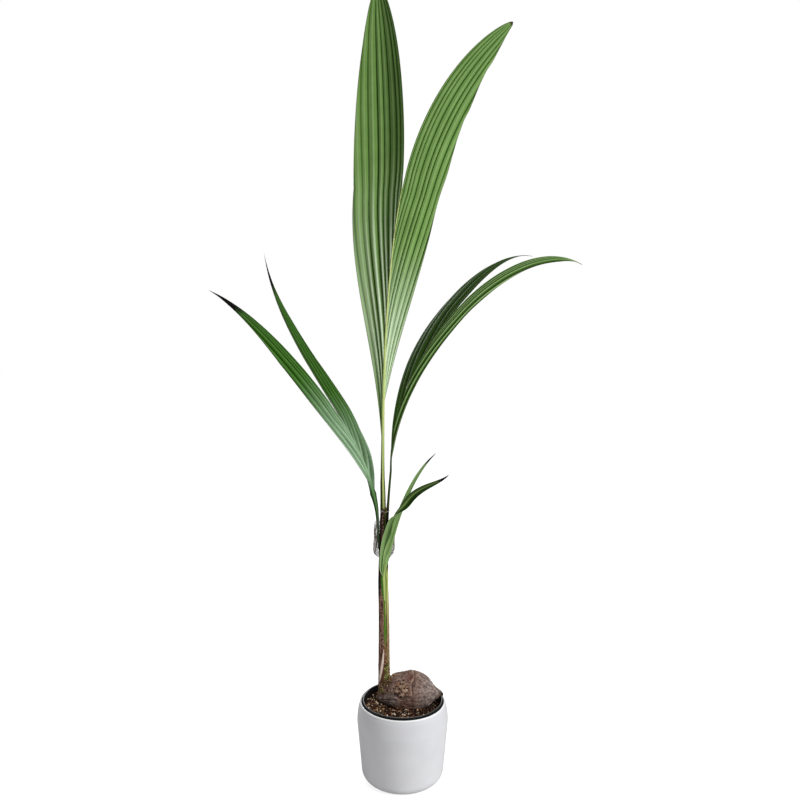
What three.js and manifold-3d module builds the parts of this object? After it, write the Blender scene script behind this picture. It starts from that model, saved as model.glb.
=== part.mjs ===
// A young coconut palm that grows from its half-buried nut, in a black nursery pot that stands
// inside a glazed white cover pot.
//
// Millimetres, +Z up. The origin is the centre of the cover pot's flat underside, and the front,
// the side the leaves show their faces to, is towards -Y.
//
// The stem is a tight roll of leaf sheaths. Four leaves stand on it, one tall and three lower.
// Young coconut leaves aren't feathered yet: each is one pleated sheet, parted at its tip along
// the rib into two lobes. So a leaf here is a petiole that runs on as the rib, and a half blade
// on each side of it, which is grown by one law from a few named angles and sizes.

import * as THREE from 'three';
import { mergeVertices } from 'three/addons/utils/BufferGeometryUtils.js';
import Module from 'manifold-3d';

// ---------------------------------------------------------------- driving dimensions

const GAP = 0.35;                 // play between pieces that rest on each other

const COVER_POT = {
  height: 183,
  lipInside: 95,                  // radius of the mouth
  widest: 106,                    // radius under the rounded shoulder
  shoulder: 15,                   // height of the shoulder
  foot: 95.5,                     // radius where the side meets the rounded foot
  footRound: 22,
  wall: 7,
  floor: 10,
};

const NURSERY_POT = {
  rimTop: 187.5,
  rimRadius: 93,
  rimBand: 11,                    // height of the turned-out band at the rim
  rimWall: 2.6,
  top: 89.4,                      // outside radius just under the band
  bottom: 69,
  wall: 2,
  floor: 2.5,
};

const SOIL_LEVEL = 165;

const STEM = {
  foot: [-43.6, 35],
  top: [-42, 35],
  topLevel: 622,
  sides: 20,
};

// Sheets that wrap the stem between two levels. Their edges are degrees round it from +X.
const FIBRE_SHEATH = { low: 512, high: 606, edges: [-14, 226], flare: 12.6, thickness: 1.1 };
const SHEATH_SCALE = { low: 217, high: 292, edges: [215, 278], tip: [255, 256], thickness: 0.9 };

// The nut lies along +X with its pointed shoot end to the left. Each row is a place along it:
// X, then Y and Z of the middle, then the radius.
const NUT_OUTLINE = [
  [-62, 17, 182, 2.5],
  [-52, 18, 184, 14],
  [-29, 23, 191.5, 35],
  [-6, 29, 189.5, 43.5],
  [24, 33, 187.5, 48.5],
  [56, 29, 188.5, 37],
  [76, 19, 190, 16.5],
  [95, 12, 190.8, 2.6],
];
const NUT = { rings: 20, sides: 28, depth: 0.9, keel: 0.035, keelTurn: 95 };

const BLADE_THICKNESS = 1.2;
const BLADE_COLUMNS = 4;          // strips across a half blade
const GROWTH_STEP = 12;           // length of rib grown between changes of direction
const BLADE_ROW = 42;             // length of blade between rows of its mesh

// ---------------------------------------------------------------- the leaves
//
// A leaf's rib grows from its base by a law in t, its length taken as 0 to 1:
//   its lean from upright, in the plane of its heading, is lean + arch t + curl t^3
//   its swing out of that plane is fan + sweep t + veer t^3
// The rib ends where the leaf is parted. From there each lobe's inner margin grows on by the
// same law, bent away by rise x + droop x^3 and swing sqrt(x) + hook x^3, with x 0 at the
// parting and 1 at the lobe's tip. A half blade's width is measured from that line: it swells as
// a power of a sine up to its widest place and falls away as a power of a cosine, and share is
// how much of that fall the inner margin takes. Roll tilts the half blade about the line, and
// turnOver twists it on between two places. side is +1 for the half to the left of the heading,
// seen from above, and -1 for the other. A half blade starts a length of rib above the base.

const TALL_LEAF = {
  base: [-46, 35, 693],
  heading: 85,
  growth: { lean: 1, arch: 5, curl: 0, fan: 0, sweep: -6.6, veer: -31, length: 1110 },
  parted: 658,
  petiole: [[-45, 35, 0], [-45.3, 35, 38], [-46, 35, 71]],     // Z above the stem's top
  petioleRadius: [6.8, 5.4],
  ribRadius: 1.3,
  halves: {
    blade_tall_left: {
      side: 1, start: 0, length: 1140, width: 125.6, widest: 0.65, basePower: 2.27,
      tipPower: 0.56, share: 0.27, roll: -18, rise: 2, droop: 0, swing: 30, hook: 24,
      bulge: -0.07,
    },
    blade_tall_right: {
      side: -1, start: 150, length: 1132, width: 92.8, widest: 0.58, basePower: 1.37,
      tipPower: 0.6, share: 0.47, roll: 18, rise: 4, droop: 0, swing: -7.2, hook: -1.4,
      bulge: 0.04,
    },
  },
};

const LEFT_LEAF = {
  base: [-68, 38, 663],
  heading: 158,
  growth: { lean: 15.6, arch: 73, curl: -90, fan: 0, sweep: 0, veer: 0, length: 650 },
  parted: 195,
  petiole: [[-55.9, 35, -88], [-57, 35.5, -34], [-60.6, 36.8, 8], [-68, 38, 41]],
  petioleRadius: [2.3, 3.8],
  ribRadius: 1.2,
  halves: {
    blade_left_near: {
      side: 1, start: 0, length: 645, width: 51, widest: 0.43, basePower: 1.12,
      tipPower: 1.01, share: 0, roll: -22, rise: -2, droop: 71, swing: 7, hook: 0,
      bulge: 0.05,
    },
    blade_left_far: {
      side: -1, start: 0, length: 645, width: 71, widest: 0.34, basePower: 0.62,
      tipPower: 0.82, share: 0, roll: 0, rise: -20, droop: 31, swing: -7, hook: 0,
      bulge: 0.05,
    },
  },
};

const RIGHT_LEAF = {
  base: [-27, 38, 718],
  heading: 27,
  growth: { lean: -0.7, arch: 113, curl: -98, fan: 0, sweep: 0, veer: 0, length: 810 },
  parted: 425,
  petiole: [[-34.4, 36, 0], [-31.8, 36.6, 40], [-27, 38, 96]],
  petioleRadius: [3.3, 2.4],
  ribRadius: 1.1,
  halves: {
    blade_right_near: {
      side: -1, start: 0, length: 803, width: 44, widest: 0.8, basePower: 0.86,
      tipPower: 0.42, share: 0, roll: 20, rise: 30.5, droop: 70.5, swing: -6, hook: 0,
      bulge: 0.05, splitAtBend: 0.55,
    },
    blade_right_far: {
      side: 1, start: 0, length: 695, width: 77, widest: 0.63, basePower: 1.31,
      tipPower: 1.6, share: 0, roll: 0, rise: 3, droop: 61.5, swing: 6, hook: 0,
      bulge: 0.05, splitAtBend: 0.64,
    },
  },
};

const SMALL_LEAF = {
  base: [-44, 20, 468],
  heading: -33,
  growth: { lean: 5.5, arch: 26.4, curl: 41.3, fan: 0, sweep: 0, veer: 0, length: 340 },
  parted: 172,
  petiole: [[-38.8, 20.6, -190], [-39.6, 19.6, -172], [-42.5, 19, -158], [-44, 20, -154]],
  petioleRadius: [1.6, 2.2],
  ribRadius: 0.8,
  halves: {
    blade_small_near: {
      side: -1, start: 0, length: 346, width: 26, widest: 0.3, basePower: 0.6,
      tipPower: 0.78, share: 0, roll: 0, turnOver: 100, turnFrom: 0.42, turnTo: 0.62,
      rise: 54.6, droop: -75.5, swing: -5, hook: 0, bulge: 0.05,
    },
    blade_small_far: {
      side: 1, start: 0, length: 341, width: 16, widest: 0.34, basePower: 0.6,
      tipPower: 0.6, share: 0, roll: -24, rise: -22.5, droop: 2, swing: 4, hook: 0,
      bulge: 0.05,
    },
  },
};

// ---------------------------------------------------------------- small helpers

const wasm = await Module();
wasm.setup();

const { degToRad: radians, lerp, smoothstep } = THREE.MathUtils;
const UP = new THREE.Vector3(0, 0, 1);

function vector(x, y, z) {
  return new THREE.Vector3(x, y, z);
}

// ---------------------------------------------------------------- closed bodies

function signedVolume(points, faces) {
  let six = 0;
  for (const [a, b, c] of faces) {
    six += points[a].dot(points[b].clone().cross(points[c]));
  }
  return six / 6;
}

function closedBody(points, faces) {
  if (signedVolume(points, faces) < 0) {
    faces.forEach((face) => face.reverse());
  }
  const geometry = new THREE.BufferGeometry().setFromPoints(points);
  geometry.setIndex(faces.flat());
  geometry.computeVertexNormals();
  return geometry;
}

// A solid through a row of rings with equally many points each, closed by a fan at both ends.
function loftRings(rings) {
  const count = rings[0].length;
  const points = rings.flat();
  const faces = [];
  for (let i = 0; i + 1 < rings.length; i++) {
    for (let j = 0; j < count; j++) {
      const next = (j + 1) % count;
      faces.push([i * count + j, i * count + next, (i + 1) * count + next]);
      faces.push([i * count + j, (i + 1) * count + next, (i + 1) * count + j]);
    }
  }
  const last = (rings.length - 1) * count;
  for (let j = 1; j + 1 < count; j++) {
    faces.push([0, j + 1, j]);
    faces.push([last, last + j, last + j + 1]);
  }
  return closedBody(points, faces);
}

// A thin solid between two equal grids of points, one on each face of a sheet.
function sheetBody(front, back) {
  const rows = front.length;
  const columns = front[0].length;
  const points = [...front.flat(), ...back.flat()];
  const at = (side, i, j) => side * rows * columns + i * columns + j;
  const faces = [];
  const quad = (a, b, c, d) => faces.push([a, b, c], [a, c, d]);
  for (let i = 0; i + 1 < rows; i++) {
    for (let j = 0; j + 1 < columns; j++) {
      quad(at(0, i, j), at(0, i + 1, j), at(0, i + 1, j + 1), at(0, i, j + 1));
      quad(at(1, i, j), at(1, i, j + 1), at(1, i + 1, j + 1), at(1, i + 1, j));
    }
    const edge = columns - 1;
    quad(at(0, i, 0), at(1, i, 0), at(1, i + 1, 0), at(0, i + 1, 0));
    quad(at(0, i, edge), at(0, i + 1, edge), at(1, i + 1, edge), at(1, i, edge));
  }
  for (let j = 0; j + 1 < columns; j++) {
    const end = rows - 1;
    quad(at(0, 0, j), at(0, 0, j + 1), at(1, 0, j + 1), at(1, 0, j));
    quad(at(0, end, j), at(1, end, j), at(1, end, j + 1), at(0, end, j + 1));
  }
  return closedBody(points, faces);
}

// A round limb through a row of places, each with its own radius.
function limb(places, sides) {
  const loops = [];
  let spoke = vector(0, -1, 0);
  for (let i = 0; i < places.length; i++) {
    const before = places[Math.max(i - 1, 0)].at;
    const after = places[Math.min(i + 1, places.length - 1)].at;
    const along = after.clone().sub(before).normalize();
    spoke = spoke.clone().addScaledVector(along, -spoke.dot(along)).normalize();
    const other = along.clone().cross(spoke);
    const loop = [];
    for (let j = 0; j < sides; j++) {
      const turn = (2 * Math.PI * j) / sides;
      const point = places[i].at.clone();
      point.addScaledVector(spoke, places[i].radius * Math.cos(turn));
      point.addScaledVector(other, places[i].radius * Math.sin(turn));
      loop.push(point);
    }
    loops.push(loop);
  }
  return loftRings(loops);
}

function asSolid(geometry) {
  const bare = geometry.clone();
  bare.deleteAttribute('normal');
  bare.deleteAttribute('uv');
  const merged = mergeVertices(bare, 1e-4);
  const vertProperties = new Float32Array(merged.attributes.position.array);
  const triVerts = new Uint32Array(merged.index.array);
  return new wasm.Manifold(new wasm.Mesh({ numProp: 3, vertProperties, triVerts }));
}

function cutAway(geometry, ...tools) {
  let solid = asSolid(geometry);
  for (const tool of tools) {
    solid = solid.subtract(asSolid(tool));
  }
  const cut = solid.getMesh();
  const result = new THREE.BufferGeometry();
  result.setAttribute('position', new THREE.BufferAttribute(cut.vertProperties, 3));
  result.setIndex(new THREE.BufferAttribute(cut.triVerts, 1));
  result.computeVertexNormals();
  return result;
}

function turned(profile, segments = 48) {
  const points = profile.map(([radius, level]) => new THREE.Vector2(radius, level));
  const geometry = new THREE.LatheGeometry(points, segments);
  geometry.rotateX(Math.PI / 2);
  return geometry;
}

// A quarter round from one profile point to another, flat at the start or at the end.
function quarterRound(from, to, startsLevel, steps = 4) {
  const points = [];
  for (let i = 1; i < steps; i++) {
    const turn = (Math.PI / 2) * (i / steps);
    const a = startsLevel ? Math.sin(turn) : 1 - Math.cos(turn);
    const b = startsLevel ? 1 - Math.cos(turn) : Math.sin(turn);
    points.push([lerp(from[0], to[0], a), lerp(from[1], to[1], b)]);
  }
  return points;
}

// ---------------------------------------------------------------- pots and soil

function coverPot() {
  const p = COVER_POT;
  const underside = [p.foot - p.footRound, 0];
  const side = [p.foot, p.footRound];
  const shoulder = [p.widest, p.height - p.shoulder];
  const lip = [p.lipInside + 1.5, p.height];
  const insideShoulder = [p.widest - p.wall, p.height - p.shoulder];
  const insideFoot = [p.foot - p.wall, p.footRound + 6];
  const floorEdge = [p.foot - p.footRound, p.floor];
  return turned([
    [0, 0],
    underside,
    ...quarterRound(underside, side, true),
    side,
    shoulder,
    ...quarterRound(shoulder, lip, false),
    lip,
    [p.lipInside, p.height - 1.5],
    insideShoulder,
    insideFoot,
    ...quarterRound(insideFoot, floorEdge, false, 3),
    floorEdge,
    [0, p.floor],
  ]);
}

function nurseryPot() {
  const p = NURSERY_POT;
  const bottom = COVER_POT.floor + GAP;
  const band = p.rimTop - p.rimBand;
  return turned([
    [0, bottom],
    [p.bottom, bottom],
    [p.top, band],
    [p.rimRadius - 0.8, band],
    [p.rimRadius, p.rimTop - 1.2],
    [p.rimRadius - 1, p.rimTop],
    [p.rimRadius - p.rimWall, p.rimTop],
    [p.top - p.wall, band - 2],
    [p.bottom - p.wall, bottom + p.floor],
    [0, bottom + p.floor],
  ]);
}

function nurseryWallInside(level) {
  const p = NURSERY_POT;
  const low = COVER_POT.floor + GAP;
  const high = p.rimTop - p.rimBand;
  return lerp(p.bottom, p.top, (level - low) / (high - low)) - p.wall;
}

function soil() {
  const bottom = COVER_POT.floor + NURSERY_POT.floor + 2 * GAP;
  const fill = turned([
    [0, bottom],
    [nurseryWallInside(bottom) - 2 * GAP, bottom],
    [nurseryWallInside(SOIL_LEVEL) - 2 * GAP, SOIL_LEVEL],
    [0, SOIL_LEVEL],
  ]);
  return cutAway(fill, nutBody(GAP));
}

// ---------------------------------------------------------------- nut and stem

// The husk is blunt three-sided: a keel on top and one low on each side.
function nutBody(extra) {
  const middle = new THREE.CatmullRomCurve3(NUT_OUTLINE.map(([x, y, z]) => vector(x, y, z)));
  const girth = new THREE.SplineCurve(
    NUT_OUTLINE.map(([x, , , radius]) => new THREE.Vector2(x, radius)),
  );
  const rings = [];
  for (let i = 0; i < NUT.rings; i++) {
    const t = i / (NUT.rings - 1);
    const centre = middle.getPoint(t);
    const radius = girth.getPoint(t).y + extra;
    const ring = [];
    for (let j = 0; j < NUT.sides; j++) {
      const turn = (2 * Math.PI * j) / NUT.sides;
      const keel = 1 + NUT.keel * Math.cos(3 * (turn - radians(NUT.keelTurn)));
      const y = centre.y + NUT.depth * radius * keel * Math.cos(turn);
      const z = centre.z + radius * keel * Math.sin(turn);
      ring.push(vector(centre.x + (i === 0 ? -extra : extra * t), y, z));
    }
    rings.push(ring);
  }
  return loftRings(rings);
}

function coconut() {
  return cutAway(nutBody(0), stemBody(GAP), turnedRimTool());
}

// The rim of the nursery pot with play around it, for the end of the nut that lies on it.
function turnedRimTool() {
  const p = NURSERY_POT;
  const band = p.rimTop - p.rimBand;
  const low = band - 60;
  return turned([
    [nurseryWallInside(low) - GAP, low],
    [p.rimRadius + 8, low],
    [p.rimRadius + 8, p.rimTop + GAP],
    [p.rimRadius - p.rimWall - GAP, p.rimTop + GAP],
    [p.top - p.wall - GAP, band - 2],
    [nurseryWallInside(low) - GAP, low],
  ]);
}

function stemRadius(level) {
  const t = (level - SOIL_LEVEL) / (STEM.topLevel - SOIL_LEVEL);
  const flare = 1.6 * Math.exp(-t * 22);
  return lerp(13.2, 9.6, t ** 1.2) + flare;
}

function stemAxis(level) {
  const t = (level - SOIL_LEVEL) / (STEM.topLevel - SOIL_LEVEL);
  return vector(lerp(STEM.foot[0], STEM.top[0], t), lerp(STEM.foot[1], STEM.top[1], t), level);
}

function stemBody(extra) {
  const levels = [0, 8, 20, 40, 90, 180, 270, 360, STEM.topLevel - SOIL_LEVEL - GAP];
  const rings = levels.map((rise, i) => {
    const foot = i === 0 ? GAP - extra : 0;
    const centre = stemAxis(SOIL_LEVEL + rise + foot);
    const radius = stemRadius(SOIL_LEVEL + rise) + extra;
    return ringAround(centre, radius, STEM.sides);
  });
  return loftRings(rings);
}

function ringAround(centre, radius, sides) {
  const ring = [];
  for (let j = 0; j < sides; j++) {
    const turn = (2 * Math.PI * j) / sides;
    ring.push(vector(centre.x + radius * Math.cos(turn), centre.y + radius * Math.sin(turn), centre.z));
  }
  return ring;
}

// A sheet that wraps part of the stem. clearance and edges are functions of its height, 0 to 1.
function wrap(sheet, rows, columns, clearanceAt, edgesAt) {
  const front = [];
  const back = [];
  for (let i = 0; i < rows; i++) {
    const t = i / (rows - 1);
    const level = lerp(sheet.low, sheet.high, t);
    const centre = stemAxis(level);
    const inside = stemRadius(level) + clearanceAt(t);
    const [from, to] = edgesAt(t);
    front.push([]);
    back.push([]);
    for (let j = 0; j < columns; j++) {
      const turn = radians(lerp(from, to, j / (columns - 1)));
      const spoke = vector(Math.cos(turn), Math.sin(turn), 0);
      back[i].push(centre.clone().addScaledVector(spoke, inside));
      front[i].push(centre.clone().addScaledVector(spoke, inside + sheet.thickness));
    }
  }
  return sheetBody(front, back);
}

// The torn fibrous sheath of an older leaf, open towards the front. It leaves the stem at its
// foot and stands clear of it higher up, where the petioles of the side leaves come out.
function fibreSheath() {
  const clearance = (t) => 2 * GAP + FIBRE_SHEATH.flare * smoothstep(t, 0, 0.3);
  return wrap(FIBRE_SHEATH, 8, 16, clearance, () => FIBRE_SHEATH.edges);
}

// A pointed scale leaf that hugs the stem above the nut.
function sheathScale() {
  const [from, to] = SHEATH_SCALE.edges;
  const [tipFrom, tipTo] = SHEATH_SCALE.tip;
  const edges = (t) => [lerp(from, tipFrom, t), lerp(to, tipTo, t ** 1.4)];
  return wrap(SHEATH_SCALE, 8, 5, () => 2 * GAP, edges);
}

// ---------------------------------------------------------------- leaves

function growthDirection(leaf, half, distance) {
  const { lean, arch, curl, fan, sweep, veer, length } = leaf.growth;
  const t = distance / length;
  const x = Math.max((distance - leaf.parted) / (half.length - leaf.parted), 0);
  const pitch = lean + arch * t + curl * t ** 3 + half.rise * x + half.droop * x ** 3;
  const yaw = fan + sweep * t + veer * t ** 3 + half.swing * Math.sqrt(x) + half.hook * x ** 3;
  const turn = radians(leaf.heading);
  const out = vector(Math.cos(turn), Math.sin(turn), 0);
  const rising = out.multiplyScalar(Math.sin(radians(pitch)));
  rising.addScaledVector(UP, Math.cos(radians(pitch))).multiplyScalar(Math.cos(radians(yaw)));
  return rising.addScaledVector(sideways(leaf), Math.sin(radians(yaw)));
}

function sideways(leaf) {
  const turn = radians(leaf.heading);
  return vector(-Math.sin(turn), Math.cos(turn), 0);
}

// How far a half blade's two margins stand from its line at a place along it.
function margins(half, distance) {
  const s = Math.max((distance - half.start) / (half.length - half.start), 0);
  if (s < half.widest) {
    return [0, half.width * Math.sin((Math.PI / 2) * (s / half.widest)) ** half.basePower];
  }
  const past = Math.min((s - half.widest) / (1 - half.widest), 1);
  const width = half.width * Math.cos((Math.PI / 2) * past) ** half.tipPower;
  const inner = half.share * (half.width - width);
  return [inner, inner + width];
}

// The line a half blade hangs from, as points a growth step apart: the rib, then its own margin.
function growLine(leaf, half) {
  const points = [vector(...leaf.base)];
  const steps = Math.ceil(half.length / GROWTH_STEP);
  const step = half.length / steps;
  for (let i = 0; i < steps; i++) {
    const heading = growthDirection(leaf, half, (i + 0.5) * step);
    points.push(points[i].clone().addScaledVector(heading, step));
  }
  return points;
}

function pointAlong(line, length, distance) {
  const place = Math.min(Math.max(distance / length, 0), 1) * (line.length - 1);
  const i = Math.min(Math.floor(place), line.length - 2);
  return line[i].clone().lerp(line[i + 1], place - i);
}

function ribRadius(leaf, distance) {
  const t = Math.min(distance / leaf.parted, 1);
  return lerp(leaf.petioleRadius[1], leaf.ribRadius, t ** 0.7);
}

function petioleBody(leaf) {
  const half = Object.values(leaf.halves)[0];
  const line = growLine(leaf, half);
  const stalk = new THREE.CatmullRomCurve3(
    leaf.petiole.map(([x, y, rise]) => vector(x, y, STEM.topLevel + rise)),
  );
  const places = [];
  for (let i = 0; i < 6; i++) {
    const radius = lerp(leaf.petioleRadius[0], leaf.petioleRadius[1], i / 6);
    places.push({ at: stalk.getPoint(i / 6), radius });
  }
  for (let i = 0; i <= 14; i++) {
    const distance = leaf.parted * (i / 14);
    const at = pointAlong(line, half.length, distance);
    places.push({ at, radius: ribRadius(leaf, distance) });
  }
  return limb(places, 8);
}

// Which way a half blade spreads from its line, and which way its upper face looks.
function bladeFrame(leaf, half, distance) {
  const along = growthDirection(leaf, half, distance).normalize();
  const across = sideways(leaf);
  across.addScaledVector(along, -across.dot(along)).normalize();
  const face = along.clone().cross(across);
  const s = distance / half.length;
  const twist = half.turnOver ? half.turnOver * smoothstep(s, half.turnFrom, half.turnTo) : 0;
  const roll = radians(half.roll + twist);
  const spread = across.clone().multiplyScalar(Math.cos(roll));
  spread.addScaledVector(face, Math.sin(roll)).multiplyScalar(half.side);
  const normal = face.multiplyScalar(Math.cos(roll)).addScaledVector(across, -Math.sin(roll));
  return { spread, normal };
}

// One row across a half blade, from beside the rib to the outer margin.
function bladeRow(leaf, half, line, distance) {
  const { spread, normal } = bladeFrame(leaf, half, distance);
  const [inner, outer] = margins(half, distance);
  const beside = inner + ribRadius(leaf, distance) + 2 * GAP + BLADE_THICKNESS / 2;
  const margin = Math.max(outer, beside + 1.2);
  const row = [];
  for (let j = 0; j <= BLADE_COLUMNS; j++) {
    const u = j / BLADE_COLUMNS;
    const lift = half.bulge * (margin - beside) * Math.sin(Math.PI * u);
    const point = pointAlong(line, half.length, distance);
    point.addScaledVector(spread, lerp(beside, margin, u)).addScaledVector(normal, lift);
    row.push(point);
  }
  return { row, normal };
}

function bladeBody(leaf, half, from, to) {
  const line = growLine(leaf, half);
  const rows = Math.max(Math.round((half.length * (to - from)) / BLADE_ROW), 6);
  const front = [];
  const back = [];
  for (let i = 0; i <= rows; i++) {
    const distance = half.length * lerp(from, to, i / rows);
    const { row, normal } = bladeRow(leaf, half, line, distance);
    front.push(row.map((p) => p.clone().addScaledVector(normal, BLADE_THICKNESS / 2)));
    back.push(row.map((p) => p.clone().addScaledVector(normal, -BLADE_THICKNESS / 2)));
  }
  return sheetBody(front, back);
}

// ---------------------------------------------------------------- the plant

const palm = new THREE.Group();

function add(name, geometry, color, roughness, metalness = 0) {
  const material = new THREE.MeshStandardMaterial({ color, roughness, metalness });
  const mesh = new THREE.Mesh(geometry, material);
  mesh.name = name;
  palm.add(mesh);
}

// An arching half blade is two nodes, so that neither bends round the space under it.
function addHalf(leaf, name, color) {
  const half = leaf.halves[name];
  const start = Math.max(half.start / half.length, 0.02);
  if (half.splitAtBend === undefined) {
    add(name, bladeBody(leaf, half, start, 1), color, 0.55);
    return;
  }
  const seam = GAP / half.length;
  add(`${name}_base`, bladeBody(leaf, half, start, half.splitAtBend), color, 0.55);
  add(`${name}_tip`, bladeBody(leaf, half, half.splitAtBend + seam, 1), color, 0.55);
}

function addLeaf(leaf, petioleName, petioleColor, bladeColor) {
  add(petioleName, petioleBody(leaf), petioleColor, 0.5);
  for (const name of Object.keys(leaf.halves)) {
    addHalf(leaf, name, bladeColor);
  }
}

add('cover_pot', coverPot(), '#e9e9ea', 0.18);
add('nursery_pot', nurseryPot(), '#1d1f22', 0.45);
add('soil', soil(), '#3a2a20', 0.95);
add('coconut', coconut(), '#6d5b54', 0.85);
add('stem', stemBody(0), '#5d5a3a', 0.7);
add('sheath_scale', sheathScale(), '#c9a58c', 0.75);
add('fibre_sheath', fibreSheath(), '#8a7d70', 0.9);
addLeaf(TALL_LEAF, 'petiole_tall', '#a9bf4a', '#4f7d34');
addLeaf(LEFT_LEAF, 'petiole_left', '#3f5c2c', '#55803f');
addLeaf(RIGHT_LEAF, 'petiole_right', '#48642f', '#3c6429');
addLeaf(SMALL_LEAF, 'petiole_small', '#9db55a', '#5e8740');

export default palm;
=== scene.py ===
# %% [markdown]
# # A potted young coconut palm
#
# A coconut palm that is sold as a houseplant is a seedling that still stands on its nut. The nut
# lies half buried in a black nursery pot, and that pot stands in a white glazed cover pot. The
# leaves of so young a palm aren't feathered: each is one pleated sheet, parted at its tip along
# the rib into two lobes.
#
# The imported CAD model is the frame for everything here. It says where each piece is and how
# large it is, so a piece is made in its own place, in metres, and nothing is fitted afterwards.
# Each CAD solid is a plain stand-in for physics, and each is replaced by a finer mesh.

# %% Load the frame
import math

import bpy
import numpy as np
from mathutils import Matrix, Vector, noise


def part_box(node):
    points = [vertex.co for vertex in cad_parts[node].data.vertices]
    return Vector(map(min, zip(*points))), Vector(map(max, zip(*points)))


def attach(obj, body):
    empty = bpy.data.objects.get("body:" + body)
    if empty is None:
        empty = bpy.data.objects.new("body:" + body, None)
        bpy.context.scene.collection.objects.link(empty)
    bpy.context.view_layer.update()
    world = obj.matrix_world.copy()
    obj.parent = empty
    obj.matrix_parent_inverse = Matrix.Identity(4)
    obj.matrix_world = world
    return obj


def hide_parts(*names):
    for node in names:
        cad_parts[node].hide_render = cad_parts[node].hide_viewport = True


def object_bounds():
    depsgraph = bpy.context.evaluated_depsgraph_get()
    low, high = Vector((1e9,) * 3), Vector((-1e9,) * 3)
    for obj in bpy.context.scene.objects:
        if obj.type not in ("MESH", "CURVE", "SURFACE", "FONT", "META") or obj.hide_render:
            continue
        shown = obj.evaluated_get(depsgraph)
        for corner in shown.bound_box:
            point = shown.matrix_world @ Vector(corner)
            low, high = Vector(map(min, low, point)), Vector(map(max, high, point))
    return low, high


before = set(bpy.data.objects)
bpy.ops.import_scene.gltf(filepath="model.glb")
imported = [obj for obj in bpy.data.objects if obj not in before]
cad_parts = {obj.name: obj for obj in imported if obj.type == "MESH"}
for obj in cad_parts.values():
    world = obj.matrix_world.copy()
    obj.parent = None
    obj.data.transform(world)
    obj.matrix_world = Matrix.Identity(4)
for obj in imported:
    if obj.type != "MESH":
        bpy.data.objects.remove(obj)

MM = 0.001
cad_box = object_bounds()
size_mm = [round((high - low) / MM) for low, high in zip(*cad_box)]
print("nodes:", len(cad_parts), " overall size in mm:", size_mm)

# %% [markdown]
# ## Camera and light
#
# A plant is pictured from a little above the middle of its stem, so that the soil shows and the
# leaves still stand tall. The light of a studio with white walls comes from all round, and a
# large panel to the right and in front is stronger than the rest. It gives the pot its soft
# shade on the left and picks out the pleats of the leaves, which even light would hide.
#
# The backdrop is plain white. It could be a real white wall, but that would throw so much light
# back that the pot would have no shaded side. So the world is bright where the camera sees it
# and dimmer where it lights the plant.

# %% Camera and studio light
CAMERA_PLACE = (-0.006, -1.774, 1.077)
CAMERA_TILT = 6.2          # degrees below level
MID_PLANT = (0.0, 0.05, 0.9)


def set_camera():
    data = bpy.data.cameras.new("camera")
    data.lens = 36
    data.sensor_width = 36
    camera = bpy.data.objects.new("camera", data)
    camera.location = CAMERA_PLACE
    camera.rotation_euler = (math.radians(90 - CAMERA_TILT), 0, 0)
    bpy.context.scene.collection.objects.link(camera)
    bpy.context.scene.camera = camera


def light_panel(name, place, target, size, watts, tint=(1, 1, 1)):
    data = bpy.data.lights.new(name, "AREA")
    data.size = size
    data.energy = watts
    data.color = tint
    panel = bpy.data.objects.new(name, data)
    panel.location = place
    panel.rotation_euler = (Vector(target) - Vector(place)).to_track_quat("-Z", "Y").to_euler()
    bpy.context.scene.collection.objects.link(panel)


set_camera()
light_panel("key_panel", (2.5, -1.7, 2.2), MID_PLANT, 1.3, 86, (0.985, 0.99, 1.0))
light_panel("top_panel", (0.4, 0.2, 3.7), MID_PLANT, 1.8, 12)
light_panel("back_panel", (-1.2, 2.6, 2.0), MID_PLANT, 1.6, 26)
bpy.context.scene.view_settings.view_transform = "Standard"

# %% [markdown]
# ## A short way to write nodes
#
# Materials and Geometry Nodes are both trees of nodes joined by links. Made by hand in the editor
# they are quick, but in a script each node takes several lines. These helpers make one node with
# its settings and inputs in a single call, so that a tree reads like a formula. An input is
# either a number or the output socket of another node.

# %% Helpers for node trees
def add(tree, kind, inputs=None, **settings):
    """Adds a node. inputs maps a socket's name or number to a value or to another socket."""
    node = tree.nodes.new(kind)
    for name, value in settings.items():
        setattr(node, name, value)
    for key, value in (inputs or {}).items():
        if isinstance(value, bpy.types.NodeSocket):
            tree.links.new(value, node.inputs[key])
        else:
            node.inputs[key].default_value = value
    return node


def calculate(tree, operation, *values):
    return add(tree, "ShaderNodeMath", dict(enumerate(values)), operation=operation).outputs[0]


def times(tree, first, second):
    return add(tree, "ShaderNodeMath", {0: first, 1: second}, operation="MULTIPLY").outputs[0]


def difference(tree, first, second):
    """One vector less another."""
    sockets = {0: first, 1: second}
    return add(tree, "ShaderNodeVectorMath", sockets, operation="SUBTRACT").outputs[0]


def scaled(tree, vector, factor):
    node = add(tree, "ShaderNodeVectorMath", {0: vector, "Scale": factor}, operation="SCALE")
    return node.outputs[0]


def remap(tree, value, low, high, to_low=0.0, to_high=1.0):
    sockets = {0: value, 1: low, 2: high, 3: to_low, 4: to_high}
    return add(tree, "ShaderNodeMapRange", sockets).outputs[0]


def mix_colours(tree, amount, first, second):
    return add(tree, "ShaderNodeMix", {0: amount, 6: first, 7: second}, data_type="RGBA").outputs[2]


def noise_value(tree, vector, scale, detail=3.0, roughness=0.55):
    sockets = {"Vector": vector, "Scale": scale, "Detail": detail, "Roughness": roughness}
    return add(tree, "ShaderNodeTexNoise", sockets).outputs[0]


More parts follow.
